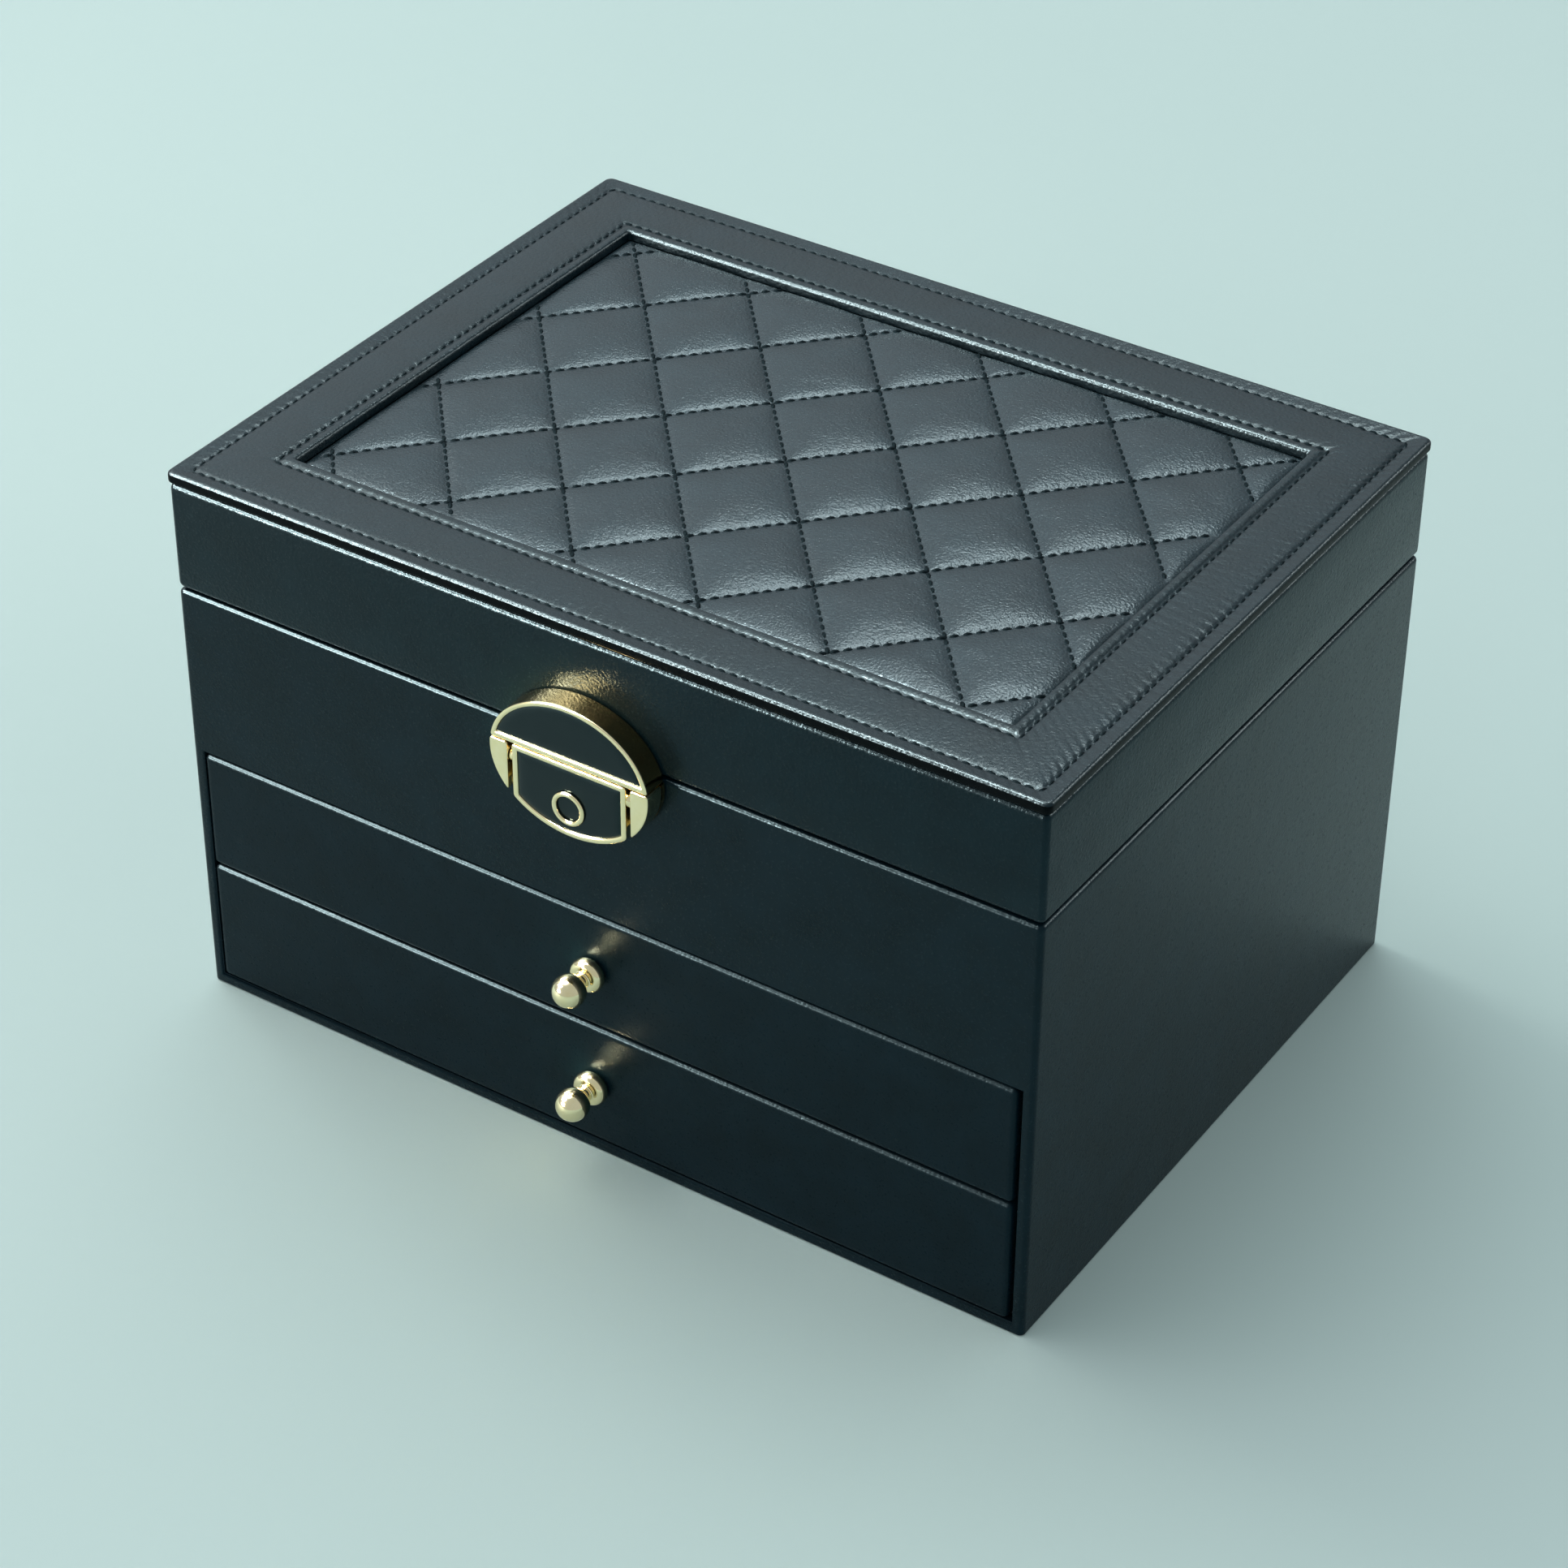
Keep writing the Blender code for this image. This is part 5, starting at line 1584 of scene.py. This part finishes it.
    def build_button(self, top: float) -> None:
        """The press button with the ends of its barrel, and its enamel, below a given top."""
        low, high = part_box("latch_flap")
        plate = (lambda inset: self.button(inset, top), self.button_depth, self.button_rim,
                 low.y + self.button_depth)
        pin_low, pin_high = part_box("latch_pin")
        axis = (0.0, (pin_low.y + pin_high.y) / 2, (pin_low.z + pin_high.z) / 2)
        radius, (narrower, bevel) = self.barrel_radius, self.barrel_bevel
        stub = np.array([(0, -self.barrel_end), (radius, -self.barrel_end), (radius, -bevel),
                         (radius - narrower, 0), (0, 0)])
        ends = [turned(stub * np.array([1, side]) + np.array([0, side * high.x]), axis, 0, 32)
                for side in (-1, 1)]
        make_piece("press_button_gold", joined([self.rimmed_plate(*plate), *ends]), GOLD,
                   "press_button", ("latch_flap",))
        make_piece("press_button_enamel", self.enamel(*plate), ENAMEL, "press_button", ("flap_inlay",))

    def build_ring(self) -> None:
        """The plain ring on the button's enamel: a domed band, turned about Y."""
        low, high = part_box("emblem_ring")
        outer, band = self.ring_radius, self.ring_band
        dome = arc((0, 0), 1.0, 0, 180, 12) * np.array([band, high.y - low.y])
        profile = np.stack([dome[:, 0] + (outer - band), high.y - dome[:, 1]], axis=-1)
        patch = turned(profile, (0.0, 0.0, (low.z + high.z) / 2), 1, 64, Ends.JOINED)
        make_piece("plain_ring_gold", patch, GOLD, "press_button", ("emblem_ring",))

    def build_ears(self) -> None:
        """The two fixed ears, each a plate with a rounded front edge."""
        low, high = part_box("latch_ear_left")
        profile = board_profile(high.y - low.y, *self.ear_edges)
        for side, name in ((-1, "latch_ear_left"), (1, "latch_ear_right")):
            patch = stacked(lambda inset, side=side: self.ear(inset, high.z, side), profile, -high.y,
                            Facing.FRONT)
            make_piece(name + "_gold", patch, GOLD, "case", (name,))

    def build(self) -> None:
        """Make the latch and dress its inner pieces."""
        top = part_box("latch_ear_left")[1].z
        self.build_moon(top)
        self.build_button(top)
        self.build_ring()
        self.build_ears()
        # The base plate and the pin take the darker gold too: painted shade
        dress(SHADED_GOLD, "latch_base_plate", "latch_pin")
        dress(STEEL, "latch_spring")


@dataclass
class Hinges:
    """Two plated butt hinges on the back, each leaf held by three domed screws."""

    leaf: float = 0.0008
    screw_radius: float = 0.0016
    screw_rise: float = 0.0005
    screw_sink: float = 0.0001
    screw_spacing: float = 0.0078
    screw_row: float = 0.0052

    def screw(self, x: float, z: float, face: float) -> Patch:
        """A domed screw head on a leaf, turned about Y.

        Args:
            x: its place along the leaf.
            z: its height.
            face: where the leaf's outer face lies along Y.

        Returns:
            The screw head.
        """
        turn = np.radians(np.linspace(0, 90, 7))
        radius, sunk = self.screw_radius, face - self.screw_sink
        dome = np.stack([radius * np.cos(turn), face + self.screw_rise * np.sin(turn)], axis=-1)
        profile = np.concatenate([[(0, sunk), (radius, sunk)], dome])
        return turned(profile, (x, 0, z), 1, 20)

    def build(self) -> None:
        """Dress the leaves and the pins, and set the screws."""
        for word in ("left", "right"):
            for body in ("case", "lid"):
                node = "hinge_" + body + "_leaf_" + word
                dress(GOLD, node)
                low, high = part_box(node)
                row = low.z + self.screw_row if body == "case" else high.z - self.screw_row
                screws = [self.screw((low.x + high.x) / 2 + step * self.screw_spacing, row,
                                     low.y + self.leaf) for step in (-1, 0, 1)]
                make_piece("hinge_screws_" + body + "_" + word, joined(screws), GOLD, body)
            dress(GOLD, "hinge_pin_" + word)


@dataclass(frozen=True)
class SoftLamp:
    """A soft lamp that faces the box; a panel for gloss only adds highlights and no diffuse light."""

    name: str
    place: tuple[float, float, float]
    size: tuple[float, float]
    power: float
    colour: str = "#FFFDF9"
    gloss_only: bool = True
    aim: tuple[float, float, float] = (0.0, 0.0, 0.1)

    def build(self) -> None:
        """Make the lamp and turn it towards its aim."""
        lamp = bpy.data.lights.new(self.name, "AREA")
        lamp.shape = "RECTANGLE"
        lamp.size, lamp.size_y = self.size
        lamp.energy = self.power
        lamp.color = linear_rgba(self.colour)[:3]
        holder = bpy.data.objects.new(self.name, lamp)
        turn = (Vector(self.aim) - Vector(self.place)).to_track_quat("-Z", "Y")
        holder.matrix_world = Matrix.Translation(self.place) @ turn.to_matrix().to_4x4()
        bpy.context.scene.collection.objects.link(holder)
        holder.visible_diffuse = not self.gloss_only


LAMPS = (SoftLamp("key_softbox", (-0.95, 0.15, 1.05), (0.5, 0.5), 4.0, "#FFFEFA", gloss_only=False),
         SoftLamp("gloss_panel_above", (-0.14, 0.44, 1.25), (0.4, 0.34), 12.0),
         SoftLamp("gloss_panel_top", (-0.36, -0.26, 1.30), (0.24, 0.36), 54.0),
         SoftLamp("gloss_panel_left", (-1.03, -0.74, 1.00), (0.7, 0.6), 135.0),
         SoftLamp("gloss_panel_low", (-0.85, -1.20, 0.42), (0.5, 0.26), 84.0),
         SoftLamp("gloss_panel_right", (1.12, 1.20, 0.82), (0.5, 0.7), 14.0))


@dataclass
class Studio:
    """A pale floor, soft lamps, a pale world, and a camera at the photograph's angle."""

    eye: tuple[float, float, float] = (0.50067, -0.77119, 0.71891)
    target: tuple[float, float, float] = (0.00178, -0.01114, 0.06763)
    roll: float = math.radians(-0.3231)
    lens: float = 96.057
    sensor: float = 36.0
    floor_half: float = 6.0
    floor_steps: int = 24
    world_colour: str = "#E8F2F7"
    world_low: float = 0.60
    world_high: float = 2.4
    bright_way: tuple[float, float, float] = (-0.50, 0.30, 0.81)
    bright_edge: float = 0.68

    def build_floor(self) -> None:
        """A wide, flat floor."""
        line = np.linspace(-self.floor_half, self.floor_half, self.floor_steps)
        x, y = np.meshgrid(line, line, indexing="ij")
        ground = sheet(np.stack([x, y, np.zeros_like(x)], axis=-1))
        mesh = bpy.data.meshes.new("studio_floor")
        mesh.from_pydata(ground.points.tolist(), [], ground.faces)
        mesh.materials.append(FLOOR_PAINT.material())
        floor = bpy.data.objects.new("studio_floor", mesh)
        bpy.context.scene.collection.objects.link(floor)

    def build_world(self) -> None:
        """A pale world that is brighter above and behind the box on its left.

        Its strength is low up to an edge, and from there it runs in a straight line to high with the
        cosine of the angle to the bright direction.
        """
        world = bpy.data.worlds.new("pale_studio")
        bpy.context.scene.world = world
        world.use_nodes = True
        tree = world.node_tree
        way = add_node(tree, "ShaderNodeTexCoord").outputs["Generated"]
        facing = add_node(tree, "ShaderNodeVectorMath", {1: self.bright_way}, {0: way},
                          operation="DOT_PRODUCT")
        glow = add_node(tree, "ShaderNodeMapRange",
                        {"From Min": self.bright_edge, "To Min": self.world_low,
                         "To Max": self.world_high}, {"Value": facing.outputs["Value"]})
        sky = tree.nodes["Background"]
        sky.inputs["Color"].default_value = linear_rgba(self.world_colour)
        tree.links.new(glow.outputs[0], sky.inputs["Strength"])

    def build_camera(self) -> None:
        """Aim the camera and tilt it by the photograph's small roll."""
        eye, target = Vector(self.eye), Vector(self.target)
        forward = (target - eye).normalized()
        level = forward.cross(Vector((0, 0, 1))).normalized()
        upright = level.cross(forward)
        right = math.cos(self.roll) * level - math.sin(self.roll) * upright
        up = math.sin(self.roll) * level + math.cos(self.roll) * upright
        camera = bpy.data.cameras.new("photo_camera")
        camera.lens = self.lens
        camera.sensor_width = self.sensor
        holder = bpy.data.objects.new("photo_camera", camera)
        turn = Matrix((right, up, -forward)).transposed().to_4x4()
        holder.matrix_world = Matrix.Translation(eye) @ turn
        bpy.context.scene.collection.objects.link(holder)
        bpy.context.scene.camera = holder

    def build(self) -> None:
        """Set the view, the world, the lamps, the floor and the camera."""
        bpy.context.scene.view_settings.view_transform = "Standard"
        self.build_world()
        for lamp in LAMPS:
            lamp.build()
        self.build_floor()
        self.build_camera()


def main() -> None:
    """Build the box's parts in order, from the studio to the hinges."""
    logging.basicConfig(level=logging.INFO, format="%(name)s: %(message)s")
    assemblies = [Studio(), CaseShell(), RingRolls(), Drawer("lower"), Drawer("upper"), LidShell(),
                  LidBorder(), QuiltedPad(), Latch(), Hinges()]
    for assembly in assemblies:
        LOG.info("building %s", type(assembly).__name__)
        assembly.build()


if __name__ == "__main__":
    main()
